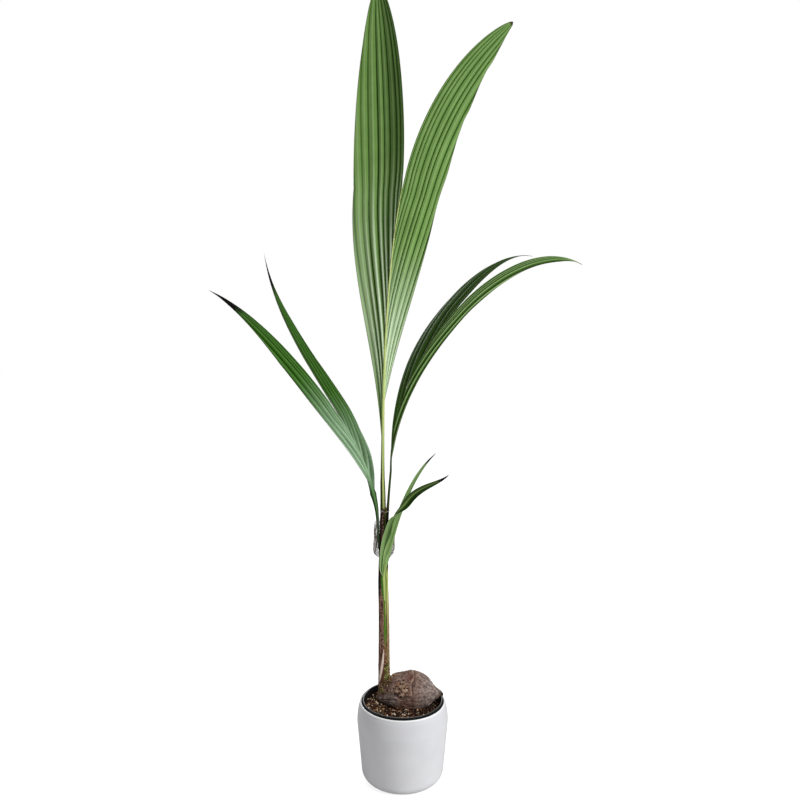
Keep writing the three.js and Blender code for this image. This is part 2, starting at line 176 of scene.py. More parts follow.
def new_tree(name, kind, inputs, outputs):
    """A group tree with named sockets. inputs and outputs map a name to (socket type, default)."""
    tree = bpy.data.node_groups.new(name, kind)
    for sockets, direction in ((inputs, "INPUT"), (outputs, "OUTPUT")):
        for socket_name, (socket_type, default) in sockets.items():
            socket = tree.interface.new_socket(
                name=socket_name, in_out=direction, socket_type="NodeSocket" + socket_type
            )
            if default is not None:
                socket.default_value = default
    inlet = tree.nodes.new("NodeGroupInput").outputs
    outlet = tree.nodes.new("NodeGroupOutput").inputs
    return tree, inlet, outlet


def paint(code):
    """A display colour such as "#6a8f3c" as Blender's linear colour."""
    levels = [int(code[i:i + 2], 16) / 255 for i in (1, 3, 5)]
    linear = [v / 12.92 if v <= 0.04045 else ((v + 0.055) / 1.055) ** 2.4 for v in levels]
    return (*linear, 1.0)


def tinted(tree, base, colour, mask, share=1.0):
    """Lays a colour, as a code or a socket, over a base where a mask lets it show."""
    if isinstance(colour, str):
        colour = paint(colour)
    amount = mask if share == 1.0 else times(tree, mask, share)
    return mix_colours(tree, amount, base, colour)


print("white paint is", paint("#ffffff"))

# %% [markdown]
# ## Helpers for meshes
#
# Almost every surface here is a grid of points: rings round a pot, a stem or a nut, or rows
# across a leaf. One function turns such a grid into a closed body. It measures the volume that
# the faces enclose, which is negative when they point inwards, and then turns them round. A
# grid can also carry numbers on its points, called attributes. The materials read them, so a
# colour follows the leaf or the stem itself and not the room.

# %% Helpers for meshes
def lerp(a, b, t):
    return a + (b - a) * t


def smoothstep(value, low, high):
    t = np.clip((value - low) / (high - low), 0, 1)
    return t * t * (3 - 2 * t)


def bell(value, middle, width):
    return np.exp(-(((value - middle) / width) ** 2))


def new_piece(name, points, faces, edges=(), **attributes):
    mesh = bpy.data.meshes.new(name)
    mesh.from_pydata(np.asarray(points).tolist(), edges, faces)
    mesh.shade_smooth()
    for key, values in attributes.items():
        kind = "FLOAT_VECTOR" if np.ndim(values) == 2 else "FLOAT"
        layer = mesh.attributes.new(key, kind, "POINT")
        layer.data.foreach_set("vector" if np.ndim(values) == 2 else "value", np.ravel(values))
    piece = bpy.data.objects.new(name, mesh)
    bpy.context.scene.collection.objects.link(piece)
    return piece


def grid_faces(rows, columns):
    faces = []
    for i in range(rows - 1):
        for j in range(columns - 1):
            a = i * columns + j
            faces.append((a, a + 1, a + columns + 1, a + columns))
    return faces


def volume_inside(points, faces):
    corners = np.array([(f[0], f[i], f[i + 1]) for f in faces for i in range(1, len(f) - 1)])
    a, b, c = (points[corners[:, i]] for i in range(3))
    return float(np.einsum("ij,ij->i", a, np.cross(b, c)).sum() / 6)


def closed_loft(name, rings, **attributes):
    """A closed body through rings of equally many points, with a pole in the middle of each end."""
    rows, columns = rings.shape[:2]
    points = np.concatenate([rings.reshape(-1, 3), [rings[0].mean(0), rings[-1].mean(0)]])
    first, last = rows * columns, rows * columns + 1
    faces = []
    for j in range(columns):
        k = (j + 1) % columns
        faces.append((first, k, j))
        for i in range(rows - 1):
            a = i * columns
            faces.append((a + j, a + k, a + columns + k, a + columns + j))
        faces.append((last, (rows - 1) * columns + j, (rows - 1) * columns + k))
    if volume_inside(points, faces) < 0:
        faces = [face[::-1] for face in faces]
    for key, values in attributes.items():
        flat = values.reshape(rows * columns, -1)
        ends = [values[0].reshape(columns, -1).mean(0), values[-1].reshape(columns, -1).mean(0)]
        both = np.concatenate([flat, ends])
        attributes[key] = both if both.shape[1] == 3 else both[:, 0]
    return new_piece(name, points, faces, **attributes)


def apply_tree(piece, tree, settings):
    """Runs a Geometry Nodes tree on a piece and keeps the plain mesh that comes out."""
    modifier = piece.modifiers.new(tree.name, "NODES")
    modifier.node_group = tree
    for item in tree.interface.items_tree:
        if item.in_out == "INPUT" and item.name in settings:
            modifier[item.identifier] = settings[item.name]
    depsgraph = bpy.context.evaluated_depsgraph_get()
    evaluated = piece.evaluated_get(depsgraph)
    mesh = bpy.data.meshes.new_from_object(
        evaluated, preserve_all_data_layers=True, depsgraph=depsgraph
    )
    piece.modifiers.clear()
    piece.data = mesh
    mesh.name = piece.name


def triangles(piece):
    return sum(len(polygon.vertices) - 2 for polygon in piece.data.polygons)


def keep(piece, slot, *nodes, material=None):
    """Hangs a finished piece on what carries it and hides what it stands for. slot is not used."""
    if material is not None:
        piece.data.materials.clear()
        piece.data.materials.append(material)
    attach(piece, "root")
    if nodes:
        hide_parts(*nodes)
    print(f"{piece.name}: {triangles(piece)} triangles")


# %% [markdown]
# ## The floor
#
# The floor belongs to the studio and not to the plant. It is a wide disc of pale paper. A real
# studio floor that looks white is lit far more than the plant on it. Here the paper glows a
# little for the camera only, so it looks white without throwing its light up at the pot, and a
# faint shadow still shows where the pot stands.

# %% Floor and backdrop
def new_finish(name, roughness=0.5, **constants):
    """A material with its Principled shader. Constants go on the shader's own sockets."""
    material = bpy.data.materials.new(name)
    material.use_nodes = True
    shader = material.node_tree.nodes["Principled BSDF"]
    shader.inputs["Roughness"].default_value = roughness
    for key, value in constants.items():
        socket_name = key.replace("_", " ").title().replace("Ior", "IOR")
        shader.inputs[socket_name].default_value = value
    return material, material.node_tree, shader


def object_place(tree):
    return add(tree, "ShaderNodeTexCoord").outputs["Object"]


def paper_finish():
    material, tree, shader = new_finish("pale_paper", 0.8)
    tone = noise_value(tree, object_place(tree), 3.0)
    colour = mix_colours(tree, tone, paint("#bcbcbc"), paint("#c2c2c2"))
    tree.links.new(colour, shader.inputs["Base Color"])
    shader.inputs["Emission Color"].default_value = (1, 1, 1, 1)
    camera_ray = add(tree, "ShaderNodeLightPath").outputs["Is Camera Ray"]
    tree.links.new(times(tree, camera_ray, 0.78), shader.inputs["Emission Strength"])
    return material


def make_floor(radius=14.0, segments=96):
    turns = np.linspace(0, 2 * np.pi, segments, endpoint=False)
    rim = np.stack([radius * np.cos(turns), radius * np.sin(turns), 0 * turns], 1)
    floor = new_piece("floor", rim, [tuple(range(segments))])
    floor.data.materials.append(paper_finish())


def light_world(seen=1.0, lighting=0.40):
    world = bpy.data.worlds.new("white_studio")
    bpy.context.scene.world = world
    world.use_nodes = True
    tree = world.node_tree
    camera_ray = add(tree, "ShaderNodeLightPath").outputs["Is Camera Ray"]
    strength = remap(tree, camera_ray, 0.0, 1.0, lighting, seen)
    background = tree.nodes["Background"]
    background.inputs["Color"].default_value = (1, 1, 1, 1)
    tree.links.new(strength, background.inputs["Strength"])


make_floor()
light_world()
print("floor level:", cad_box[0].z)

# %% [markdown]
# ## Effects that several finishes share
#
# A plant is made of fibre. Husk, stem and dry sheaths all show long streaks, and everything in
# the pot is uneven in large soft patches. Each effect could be built again in every material,
# but a shader node group holds it once, with named inputs, and each material sets its own
# values. A group gives out only numbers, and the material decides what they colour.

# %% Streaks and patches
def streaks_group():
    inputs = {"Place": ("Vector", None), "Scale": ("Float", 400.0), "Contrast": ("Float", 0.3)}
    outputs = {"Streak": ("Float", None), "Height": ("Float", None)}
    tree, inlet, outlet = new_tree("Fibre streaks", "ShaderNodeTree", inputs, outputs)
    broad = noise_value(tree, inlet["Place"], inlet["Scale"], 2.0)
    fine_scale = times(tree, inlet["Scale"], 3.7)
    fine = noise_value(tree, inlet["Place"], fine_scale, 4.0, 0.65)
    both = calculate(tree, "ADD", times(tree, broad, 0.6), times(tree, fine, 0.4))
    low = calculate(tree, "SUBTRACT", 0.5, times(tree, inlet["Contrast"], 0.5))
    high = calculate(tree, "ADD", 0.5, times(tree, inlet["Contrast"], 0.5))
    tree.links.new(remap(tree, both, low, high), outlet["Streak"])
    tree.links.new(fine, outlet["Height"])
    return tree


def patches_group():
    inputs = {"Place": ("Vector", None), "Scale": ("Float", 30.0), "Low": ("Float", 0.4),
              "High": ("Float", 0.6)}
    outputs = {"Mask": ("Float", None)}
    tree, inlet, outlet = new_tree("Soft patches", "ShaderNodeTree", inputs, outputs)
    value = noise_value(tree, inlet["Place"], inlet["Scale"], 3.0, 0.6)
    tree.links.new(remap(tree, value, inlet["Low"], inlet["High"]), outlet["Mask"])
    return tree


STREAKS = streaks_group()
PATCHES = patches_group()


def effect(tree, group, **inputs):
    named = {key.replace("_", " ").capitalize(): value for key, value in inputs.items()}
    return add(tree, "ShaderNodeGroup", named, node_tree=group)


def patches(tree, place, scale, low, high):
    """A mask of soft patches, from 0 where their noise is low to 1 where it is high."""
    return effect(tree, PATCHES, place=place, scale=scale, low=low, high=high).outputs["Mask"]


def attribute(tree, name, output="Fac"):
    return add(tree, "ShaderNodeAttribute", attribute_name=name).outputs[output]


def dress(tree, shader, colour, height, strength, distance):
    """Gives a shader its colour and its fine relief."""
    sockets = {"Height": height, "Strength": strength, "Distance": distance}
    bump = add(tree, "ShaderNodeBump", sockets)
    tree.links.new(bump.outputs[0], shader.inputs["Normal"])
    tree.links.new(colour, shader.inputs["Base Color"])


print("shader groups:", STREAKS.name, "and", PATCHES.name)

# %% [markdown]
# ## Cover pot
#
# The cover pot is slip-cast and glazed white: a wall that widens a little upwards, a full round
# foot, and a shoulder that rolls in to a narrow lip. It could be a cylinder with bevels, but a
# turned profile gives each stretch its own curve. The profile goes from the middle of the
# underside, up the outside, over the lip and down to the middle of the floor inside. A real
# pot isn't quite round, so the radius varies by a fraction of a millimetre.

# %% Turned bodies
def arc(centre, radii, start, end, steps=12):
    turns = np.radians(np.linspace(start, end, steps))
    return [(centre[0] + radii[0] * math.cos(a), centre[1] + radii[1] * math.sin(a)) for a in turns]


def line_of(start, end, steps=8):
    return [(lerp(start[0], end[0], i / steps), lerp(start[1], end[1], i / steps))
            for i in range(1, steps)]


def turned(name, profile, segments=128, wobble=0.0):
    """Spins a profile of (radius, level) in millimetres, which starts and ends near the axis."""
    turns = np.linspace(0, 2 * np.pi, segments, endpoint=False)
    rings = []
    for radius, level in profile:
        spread = radius + wobble * np.sin(3 * turns + level * 0.02) * (radius > 30)
        rings.append(np.stack([spread * np.cos(turns), spread * np.sin(turns),
                               np.full(segments, level)], 1))
    return closed_loft(name, np.array(rings) * MM)


# %% Cover pot
pot_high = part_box("cover_pot")[1]
POT_HEIGHT = pot_high.z / MM
POT_WIDEST = pot_high.x / MM
FOOT_RADIUS = 95.5
FOOT_ROUND = 22
SHOULDER = 46              # the wall starts to lean in this far below the lip
LIP = 95                   # radius inside the lip
LIP_WIDTH = 3              # flat top of the lip
WALL = 7
POT_FLOOR = 10
FOOT_RING = (60, 1.8)      # inner radius and height of the hollow under the foot


def cover_pot_profile():
    ring, hollow = FOOT_RING
    flat = FOOT_RADIUS - FOOT_ROUND
    shoulder_level = POT_HEIGHT - SHOULDER
    edge = LIP + LIP_WIDTH
    return [
        (1, hollow), (ring - 4, hollow), (ring - 1, hollow * 0.7), (ring, 0.15), (ring + 1.5, 0),
        (flat - 4, 0),
        *arc((flat, FOOT_ROUND), (FOOT_ROUND, FOOT_ROUND), -90, 0, 18),
        *line_of((FOOT_RADIUS, FOOT_ROUND), (POT_WIDEST - 0.6, shoulder_level), 20),
        *arc((POT_WIDEST - 12, shoulder_level), (11.4, SHOULDER), 0, 64, 18),
        *arc((edge - 1.6, POT_HEIGHT - 2.4), (2.4, 2.4), 20, 90, 7),
        *arc((LIP + 1.6, POT_HEIGHT - 1.7), (1.6, 1.7), 100, 180, 7),
        *line_of((LIP, POT_HEIGHT - 2.5), (POT_WIDEST - WALL, shoulder_level), 6),
        *line_of((POT_WIDEST - WALL, shoulder_level), (FOOT_RADIUS - WALL, 28), 10),
        *arc((flat, 28), (FOOT_RADIUS - WALL - flat, 28 - POT_FLOOR), 0, -90, 8),
        (40, POT_FLOOR), (1, POT_FLOOR),
    ]


def glaze_finish():
    material, tree, shader = new_finish("white_glaze", 0.34, coat_weight=0.25, coat_roughness=0.22)
    place = object_place(tree)
    clouds = patches(tree, place, 9.0, 0.35, 0.7)
    specks = patches(tree, place, 240.0, 0.70, 0.74)
    level = add(tree, "ShaderNodeSeparateXYZ", {0: place}).outputs[2]
    # Painted shade: the wall is painted darker from the shoulder up to the lip.
    thick = remap(tree, level, (POT_HEIGHT - 50) * MM, (POT_HEIGHT - 14) * MM, 0, 0.4)
    # Painted highlight: the top of the lip is painted near white.
    lip_highlight = remap(tree, level, (POT_HEIGHT - 3.4) * MM, (POT_HEIGHT - 2.2) * MM)
    body = mix_colours(tree, clouds, paint("#e7e7ea"), paint("#efeff1"))
    body = tinted(tree, body, "#d0d0d4", thick)
    body = tinted(tree, body, "#fbfbfb", lip_highlight)
    body = tinted(tree, body, "#c9c5bf", specks, 0.25)
    tree.links.new(remap(tree, clouds, 0, 1, 0.3, 0.4), shader.inputs["Roughness"])
    dress(tree, shader, body, noise_value(tree, place, 55.0, 2.0), 0.08, 0.0006)
    return material


cover_pot = turned("glazed_cover_pot", cover_pot_profile(), 160, wobble=0.18)
keep(cover_pot, "white_glaze", "cover_pot", material=glaze_finish())

# %% [markdown]
# ## Nursery pot
#
# Under the lip stands the pot the palm was sold in, thin black plastic with a rim that turns
# outwards and rolls over at the top. Only the rim and the top of the inside show. The rolled
# edge matters most, because it catches the light as a thin grey line, which is painted on its
# top as a highlight. It is turned like the cover pot, from the sizes of its own CAD node.

# %% Nursery pot
inner_low, inner_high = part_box("nursery_pot")
RIM_TOP = inner_high.z / MM
RIM_RADIUS = inner_high.x / MM
RIM_BAND = 11
PLASTIC_FOOT = 69          # radius at the bottom
PLASTIC_WALL = 2


def nursery_profile():
    bottom = inner_low.z / MM
    band = RIM_TOP - RIM_BAND
    under = RIM_RADIUS - 3.6
    return [
        (1, bottom), (PLASTIC_FOOT - 1.5, bottom), (PLASTIC_FOOT, bottom + 1.5),
        *line_of((PLASTIC_FOOT, bottom + 1.5), (under, band), 16),
        (under, band), (RIM_RADIUS - 1.2, band), (RIM_RADIUS - 0.4, band + 0.8),
        *line_of((RIM_RADIUS - 0.4, band + 0.8), (RIM_RADIUS, RIM_TOP - 1.8), 4),
        *arc((RIM_RADIUS - 1.5, RIM_TOP - 1.5), (1.5, 1.5), 0, 180, 12),
        (RIM_RADIUS - 3.1, RIM_TOP - 4), (RIM_RADIUS - 3.3, RIM_TOP - 7.2),
        (RIM_RADIUS - 4.8, RIM_TOP - 8.2), (under - PLASTIC_WALL, band - 3),
        *line_of((under - PLASTIC_WALL, band - 3), (PLASTIC_FOOT - PLASTIC_WALL, bottom + 4), 14),
        (PLASTIC_FOOT - 6, bottom + 2.5), (1, bottom + 2.5),
    ]


def plastic_finish():
    material, tree, shader = new_finish("black_plastic", 0.4, specular_ior_level=0.3)
    place = object_place(tree)
    dust = patches(tree, place, 60.0, 0.45, 0.75)
    rub = effect(tree, STREAKS, place=place, scale=150.0, contrast=0.4)
    colour = tinted(tree, paint("#08090a"), "#37322e", dust, 0.16)
    sides = add(tree, "ShaderNodeSeparateXYZ", {0: place})
    squares = calculate(tree, "MULTIPLY_ADD", sides.outputs[0], sides.outputs[0],
                        times(tree, sides.outputs[1], sides.outputs[1]))
    reach = calculate(tree, "POWER", squares, 0.5)
    # Painted highlight: a pale grey band along the top of the rolled rim, where it catches the light.
    inward = remap(tree, reach, (RIM_RADIUS - 0.8) * MM, (RIM_RADIUS - 1.4) * MM)
    outward = remap(tree, reach, (RIM_RADIUS - 3.7) * MM, (RIM_RADIUS - 3.2) * MM)
    raised = remap(tree, sides.outputs[2], (RIM_TOP - 2.4) * MM, (RIM_TOP - 1.2) * MM)
    rim_highlight = times(tree, times(tree, inward, outward), raised)
    colour = tinted(tree, colour, "#a3a19f", rim_highlight, 0.8)
    tree.links.new(remap(tree, rub.outputs["Streak"], 0, 1, 0.28, 0.5), shader.inputs["Roughness"])
    dress(tree, shader, colour, rub.outputs["Height"], 0.1, 0.0004)
    return material


nursery_pot = turned("nursery_pot_rolled", nursery_profile(), 144, wobble=0.25)
keep(nursery_pot, "black_plastic", "nursery_pot", material=plastic_finish())

# %% [markdown]
# ## Soil
#
# Potting soil is peat and composted bark: a dark crumbly bed with chips of red-brown bark lying
# on it, grains of white perlite and a few straws. The bed is a turned body whose top is pushed
# up and down by noise, in coarse lumps and fine crumbs. It is heaped a little round the nut.
#
# The chips could be placed one by one, but Geometry Nodes scatter them in one step: points are
# dealt out over the bed, each point takes a lump of a few faces with its own turn and size, and
# noise breaks the lumps out of shape. A number dealt to each chip lets the material give every
# one a colour of its own.

# %% Soil bed
SOIL_LEVEL = 165
SOIL_RADIUS = 86.8
NUT_MIDDLE = (12, 27)      # where the nut lies in the pot, seen from above
HEAP = 2.5                 # how far the soil is heaped up between the nut and the pot
LEFT_BANK = 9              # and how much higher it lies at the left wall


def crumb_height(x, y):
    lumps = noise.noise(Vector((x * 0.05, y * 0.05, 3.1))) * 2.6
    crumbs = noise.noise(Vector((x * 0.22, y * 0.22, 8.4))) * 1.8
    grit = noise.noise(Vector((x * 0.7, y * 0.7, 1.7))) * 0.8
    away = math.hypot((x - NUT_MIDDLE[0]) / 82, (y - NUT_MIDDLE[1]) / 48)
    heap = HEAP * math.exp(-(((away - 1.4) / 0.35) ** 2))
    bank = LEFT_BANK * float(smoothstep(-x, 28, 72))
    edge = -0.8 * max(math.hypot(x, y) / SOIL_RADIUS - 0.93, 0) / 0.07
    return lumps + crumbs + grit + heap + bank + edge - 0.4


def soil_body(segments=200, rings=84):
    turns = np.linspace(0, 2 * np.pi, segments, endpoint=False)
    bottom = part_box("soil")[0].z / MM
    grid = [np.stack([r * np.cos(turns), r * np.sin(turns), np.full(segments, z)], 1)
            for r, z in ((1, bottom), (PLASTIC_FOOT - 4, bottom), (SOIL_RADIUS, SOIL_LEVEL - 12))]
    for radius in np.linspace(SOIL_RADIUS, 0.8, rings):
        ring = np.stack([radius * np.cos(turns), radius * np.sin(turns), 0 * turns], 1)
        ring[:, 2] = [SOIL_LEVEL + crumb_height(x, y) for x, y, _ in ring]
        grid.append(ring)
    return closed_loft("soil_bed", np.array(grid) * MM)


def soil_finish():
    material, tree, shader = new_finish("potting_soil", 0.95, specular_ior_level=0.2)
    place = object_place(tree)
    damp = patches(tree, place, 45.0, 0.35, 0.65)
    crumbs = effect(tree, STREAKS, place=place, scale=330.0, contrast=0.35)
    dark = mix_colours(tree, damp, paint("#0f0906"), paint("#20140e"))
    colour = tinted(tree, dark, "#4a2f20", crumbs.outputs["Streak"], 0.45)
    dress(tree, shader, colour, crumbs.outputs["Height"], 0.9, 0.0012)
    return material


soil_bed = soil_body()
keep(soil_bed, "potting_soil", "soil", material=soil_finish())


# %% Scattering tree
def scatter_tree():
    """Deals broken lumps over a mesh: chips, grains and crumbs."""
    inputs = {
        "Geometry": ("Geometry", None), "Density": ("Float", 30000.0), "Smallest": ("Float", 0.5),
        "Largest": ("Float", 2.0), "Flatness": ("Float", 0.5), "Length": ("Float", 1.5),
        "Lowest Slope": ("Float", 0.3), "Seed": ("Int", 1), "Material": ("Material", None),
    }
    tree, inlet, outlet = new_tree(
        "Scattered lumps", "GeometryNodeTree", inputs, {"Geometry": ("Geometry", None)}
    )
    normal = add(tree, "GeometryNodeInputNormal").outputs[0]
    upward = add(tree, "ShaderNodeSeparateXYZ", {0: normal}).outputs[2]
    facing = calculate(tree, "GREATER_THAN", upward, inlet["Lowest Slope"])
    points = add(tree, "GeometryNodeDistributePointsOnFaces", {
        "Mesh": inlet["Geometry"], "Selection": facing, "Density": inlet["Density"],
        "Seed": inlet["Seed"]})
    lump = add(tree, "GeometryNodeMeshIcoSphere", {"Radius": 1.0, "Subdivisions": 1})
    size = add(tree, "FunctionNodeRandomValue", {
        2: inlet["Smallest"], 3: inlet["Largest"], "Seed": inlet["Seed"]}).outputs[1]
    flat = times(tree, size, inlet["Flatness"])
    long = times(tree, size, inlet["Length"])
    scale = add(tree, "ShaderNodeCombineXYZ", {0: long, 1: size, 2: flat}).outputs[0]
    tip_seed = calculate(tree, "ADD", inlet["Seed"], 7)
    tumble = add(tree, "FunctionNodeRandomValue", {
        0: (-0.7, -0.7, 0.0), 1: (0.7, 0.7, 6.283), "Seed": tip_seed},
        data_type="FLOAT_VECTOR").outputs[0]
    turn = add(tree, "FunctionNodeEulerToRotation", {0: tumble}).outputs[0]
    rotation = add(tree, "FunctionNodeRotateRotation", {
        0: points.outputs["Rotation"], 1: turn}, rotation_space="LOCAL").outputs[0]
    lumps = add(tree, "GeometryNodeInstanceOnPoints", {
        "Points": points.outputs[0], "Instance": lump.outputs[0], "Rotation": rotation,
        "Scale": scaled(tree, scale, MM)})
    tone_seed = calculate(tree, "ADD", inlet["Seed"], 19)
    tone = add(tree, "FunctionNodeRandomValue", {"Seed": tone_seed}).outputs[1]
    marked = add(tree, "GeometryNodeStoreNamedAttribute", {
        "Geometry": lumps.outputs[0], "Name": "tone", "Value": tone},
        data_type="FLOAT", domain="INSTANCE")
    real = add(tree, "GeometryNodeRealizeInstances", {"Geometry": marked.outputs[0]})
    place = add(tree, "GeometryNodeInputPosition").outputs[0]
    shake = add(tree, "ShaderNodeTexNoise", {"Vector": place, "Scale": 900.0}).outputs[1]
    offset = scaled(tree, difference(tree, shake, (0.5, 0.5, 0.5)), 1.6 * MM)
    broken = add(tree, "GeometryNodeSetPosition", {"Geometry": real.outputs[0], "Offset": offset})
    done = add(tree, "GeometryNodeSetMaterial", {
        "Geometry": broken.outputs[0], "Material": inlet["Material"]})
    tree.links.new(done.outputs[0], outlet["Geometry"])
    return tree


SCATTER = scatter_tree()


def scattered(name, ground, slot, material, **settings):
    """Deals lumps over a copy of the ground, as a piece of their own."""
    piece = bpy.data.objects.new(name, ground.data.copy())
    bpy.context.scene.collection.objects.link(piece)
    named = {key.replace("_", " ").title(): value for key, value in settings.items()}
    apply_tree(piece, SCATTER, {**named, "Material": material})
    keep(piece, slot)


def scattered_over(patch, name, slot, material, **settings):
    """Deals lumps over a bare patch that was made for them, and removes the patch."""
    scattered(name, patch, slot, material, **settings)
    bpy.data.objects.remove(patch)


def ramp(tree, value, stops):
    """A colour ramp. stops are (place, colour) pairs."""
    node = add(tree, "ShaderNodeValToRGB", {0: value})
    elements = node.color_ramp.elements
    while len(elements) < len(stops):
        elements.new(0.5)
    for element, (place, colour) in zip(elements, stops):
        element.position = place
        element.color = colour
    return node.outputs[0]


def chip_finish(name, stops, roughness=0.9):
    material, tree, shader = new_finish(name, roughness, specular_ior_level=0.25)
    place = object_place(tree)
    body = ramp(tree, attribute(tree, "tone"), [(at, paint(code)) for at, code in stops])
    grain = effect(tree, STREAKS, place=place, scale=700.0, contrast=0.5)
    darker = mix_colours(tree, 0.5, body, paint("#140d09"))
    colour = tinted(tree, body, darker, grain.outputs["Streak"], 0.45)
    dress(tree, shader, colour, grain.outputs["Height"], 0.6, 0.0005)
    return material


BARK = chip_finish("bark_chip", [(0.0, "#0e0704"), (0.5, "#26130b"), (0.75, "#64351e"),
                                 (0.86, "#925a36"), (0.95, "#ba8f62"), (1.0, "#e3cba6")])
PERLITE = chip_finish("perlite", [(0.0, "#dcc6a5"), (0.6, "#f7e8d0"), (1.0, "#bd9a70")])
scattered("bark_chips", soil_bed, "potting_soil", BARK, density=60000.0, smallest=0.6,
          largest=2.6, flatness=0.45, length=1.7, seed=4)
scattered("crumbs", soil_bed, "potting_soil", BARK, density=150000.0, smallest=0.25,
          largest=0.9, flatness=0.8, length=1.1, seed=11)
scattered("perlite_grains", soil_bed, "potting_soil", PERLITE, density=5600.0, smallest=0.8,
          largest=2.6, flatness=0.9, length=1.1, seed=23)

# %% [markdown]
# A few straws and root hairs lie on the soil. A straw is a thin tube that follows a path, and so
# are the fibres of the nut, the stem and the net sheath further on. One Geometry Nodes tree
# serves them all. It takes bare edges, lets noise push them off their straight course, and
# sweeps a small ring along them. A number on each point, the girth, thins a strand at its ends.

# %% Strand tree
def end_smooth(tree, inlet, outlet, geometry):
    """Ends a tree: its geometry is shaded smooth, made real and given the material."""
    smooth = add(tree, "GeometryNodeSetShadeSmooth", {"Geometry": geometry})
    real = add(tree, "GeometryNodeRealizeInstances", {"Geometry": smooth.outputs[0]})
    done = add(tree, "GeometryNodeSetMaterial", {
        "Geometry": real.outputs[0], "Material": inlet["Material"]})
    tree.links.new(done.outputs[0], outlet["Geometry"])


def strand_tree():
    """Sweeps a ring along every chain of edges."""
    inputs = {
        "Geometry": ("Geometry", None), "Wander": ("Float", 0.0005),
        "Wander Scale": ("Float", 90.0), "Sides": ("Int", 5), "Material": ("Material", None),
    }
    tree, inlet, outlet = new_tree(
        "Strands along paths", "GeometryNodeTree", inputs, {"Geometry": ("Geometry", None)}
    )
    place = add(tree, "GeometryNodeInputPosition").outputs[0]
    sway = add(tree, "ShaderNodeTexNoise",
               {"Vector": place, "Scale": inlet["Wander Scale"], "Detail": 1.0}).outputs[1]
    centred = difference(tree, sway, (0.5, 0.5, 0.5))
    twice = times(tree, inlet["Wander"], 2.0)
    moved = add(tree, "GeometryNodeSetPosition", {
        "Geometry": inlet["Geometry"], "Offset": scaled(tree, centred, twice)})
    curves = add(tree, "GeometryNodeMeshToCurve", {0: moved.outputs[0]})
    ring = add(tree, "GeometryNodeCurvePrimitiveCircle",
               {"Resolution": inlet["Sides"], "Radius": 1.0})
    girth = add(tree, "GeometryNodeInputNamedAttribute", {"Name": "girth"}).outputs[0]
    tubes = add(tree, "GeometryNodeCurveToMesh", {
        "Curve": curves.outputs[0], "Profile Curve": ring.outputs[0], "Scale": girth,
        "Fill Caps": True})
    end_smooth(tree, inlet, outlet, tubes.outputs[0])
    return tree


STRANDS = strand_tree()


def strands(name, paths, slot, material, radius, nodes=(), tones=None, **settings):
    """paths are rows of points in millimetres, and radius is a strand's thickest, also in mm."""
    points, edges, girth, tone = [], [], [], []
    for index, path in enumerate(paths):
        first = len(points)
        points.extend(np.asarray(path) * MM)
        edges.extend((first + k, first + k + 1) for k in range(len(path) - 1))
        middle = np.linspace(-1, 1, len(path))
        girth.extend(radius * MM * (0.25 + 0.75 * (1 - middle ** 4)))
        tone.extend([tones[index] if tones is not None else (index * 0.618) % 1] * len(path))
    piece = new_piece(name, points, (), edges, girth=np.array(girth), tone=np.array(tone))
    named = {key.replace("_", " ").title(): value for key, value in settings.items()}
    apply_tree(piece, STRANDS, {**named, "Material": material})
    keep(piece, slot, *nodes)


def fibre_finish(name, stops, roughness=0.85):
    material, tree, shader = new_finish(name, roughness)
    body = ramp(tree, attribute(tree, "tone"), [(at, paint(code)) for at, code in stops])
    streak = effect(tree, STREAKS, place=object_place(tree), scale=260.0, contrast=0.5)
    darker = mix_colours(tree, 0.55, body, paint("#1b120c"))
    colour = tinted(tree, body, darker, streak.outputs["Streak"], 0.35)
    dress(tree, shader, colour, streak.outputs["Height"], 0.4, 0.0002)
    return material


# %% Straws on the soil
STRAW = fibre_finish("dry_straw", [(0.0, "#8d7350"), (0.5, "#b89a6c"), (1.0, "#d6c19a")])
dice = np.random.default_rng(7)


def lying_straw(x, y, turn, length, lift):
    along = np.linspace(-0.5, 0.5, 9)
    bend = 5 * along ** 2
    px = x + length * along * math.cos(turn) - bend * math.sin(turn)
    py = y + length * along * math.sin(turn) + bend * math.cos(turn)
    pz = [SOIL_LEVEL + crumb_height(a, b) for a, b in zip(px, py)]
    return np.stack([px, py, np.array(pz) + 0.9 + lift * (along + 0.5)], 1)


straw_paths = [lying_straw(-47, -46, 1.15, 24, 6), lying_straw(-62, 6, -0.75, 22, 5)]
for _ in range(26):
    turn, reach = dice.uniform(0, 6.28), dice.uniform(50, 79)
    straw_paths.append(lying_straw(reach * math.cos(turn), reach * math.sin(turn),
                                   dice.uniform(0, 3.14), dice.uniform(5, 15), dice.uniform(0, 2)))
strands("straws", straw_paths, "potting_soil", STRAW, 0.42, wander=0.0008)

# %% [markdown]
# ## The nut
#
# The nut lies on its side with its stalk end to the left, where the shoot comes out. Its husk
# is smooth when fresh. On a sprouted nut it has dried to a grey-brown hide with long fibres,
# dents, a torn flaky patch and one raised split across the top. In section it is a rounded
# triangle. Loose flakes of skin lie on it, with moss beside the stem, and the tree that dealt
# out the bark deals them too.
#
# A sculptor would draw the lumps by hand. Here they are written as a height over the nut's own
# two directions, along and round, as a map gives height over a plain. The same two directions
# carry the masks for the colours, so the pale lip of the split lies exactly where the relief
# has it.

# %% A smooth line through points
def through(points, count):
    """A smooth curve through the given points, as evenly many places for each stretch."""
    points = np.asarray(points, float)
    places = np.linspace(0, len(points) - 1, count)
    i = np.minimum(places.astype(int), len(points) - 2)
    t = (places - i)[:, None]
    a, b, c, d = (points[np.clip(i + k, 0, len(points) - 1)] for k in (-1, 0, 1, 2))
    bent = (2 * a - 5 * b + 4 * c - d) * t ** 2 + (3 * b - 3 * c + d - a) * t ** 3
    return 0.5 * (2 * b + (c - a) * t + bent)


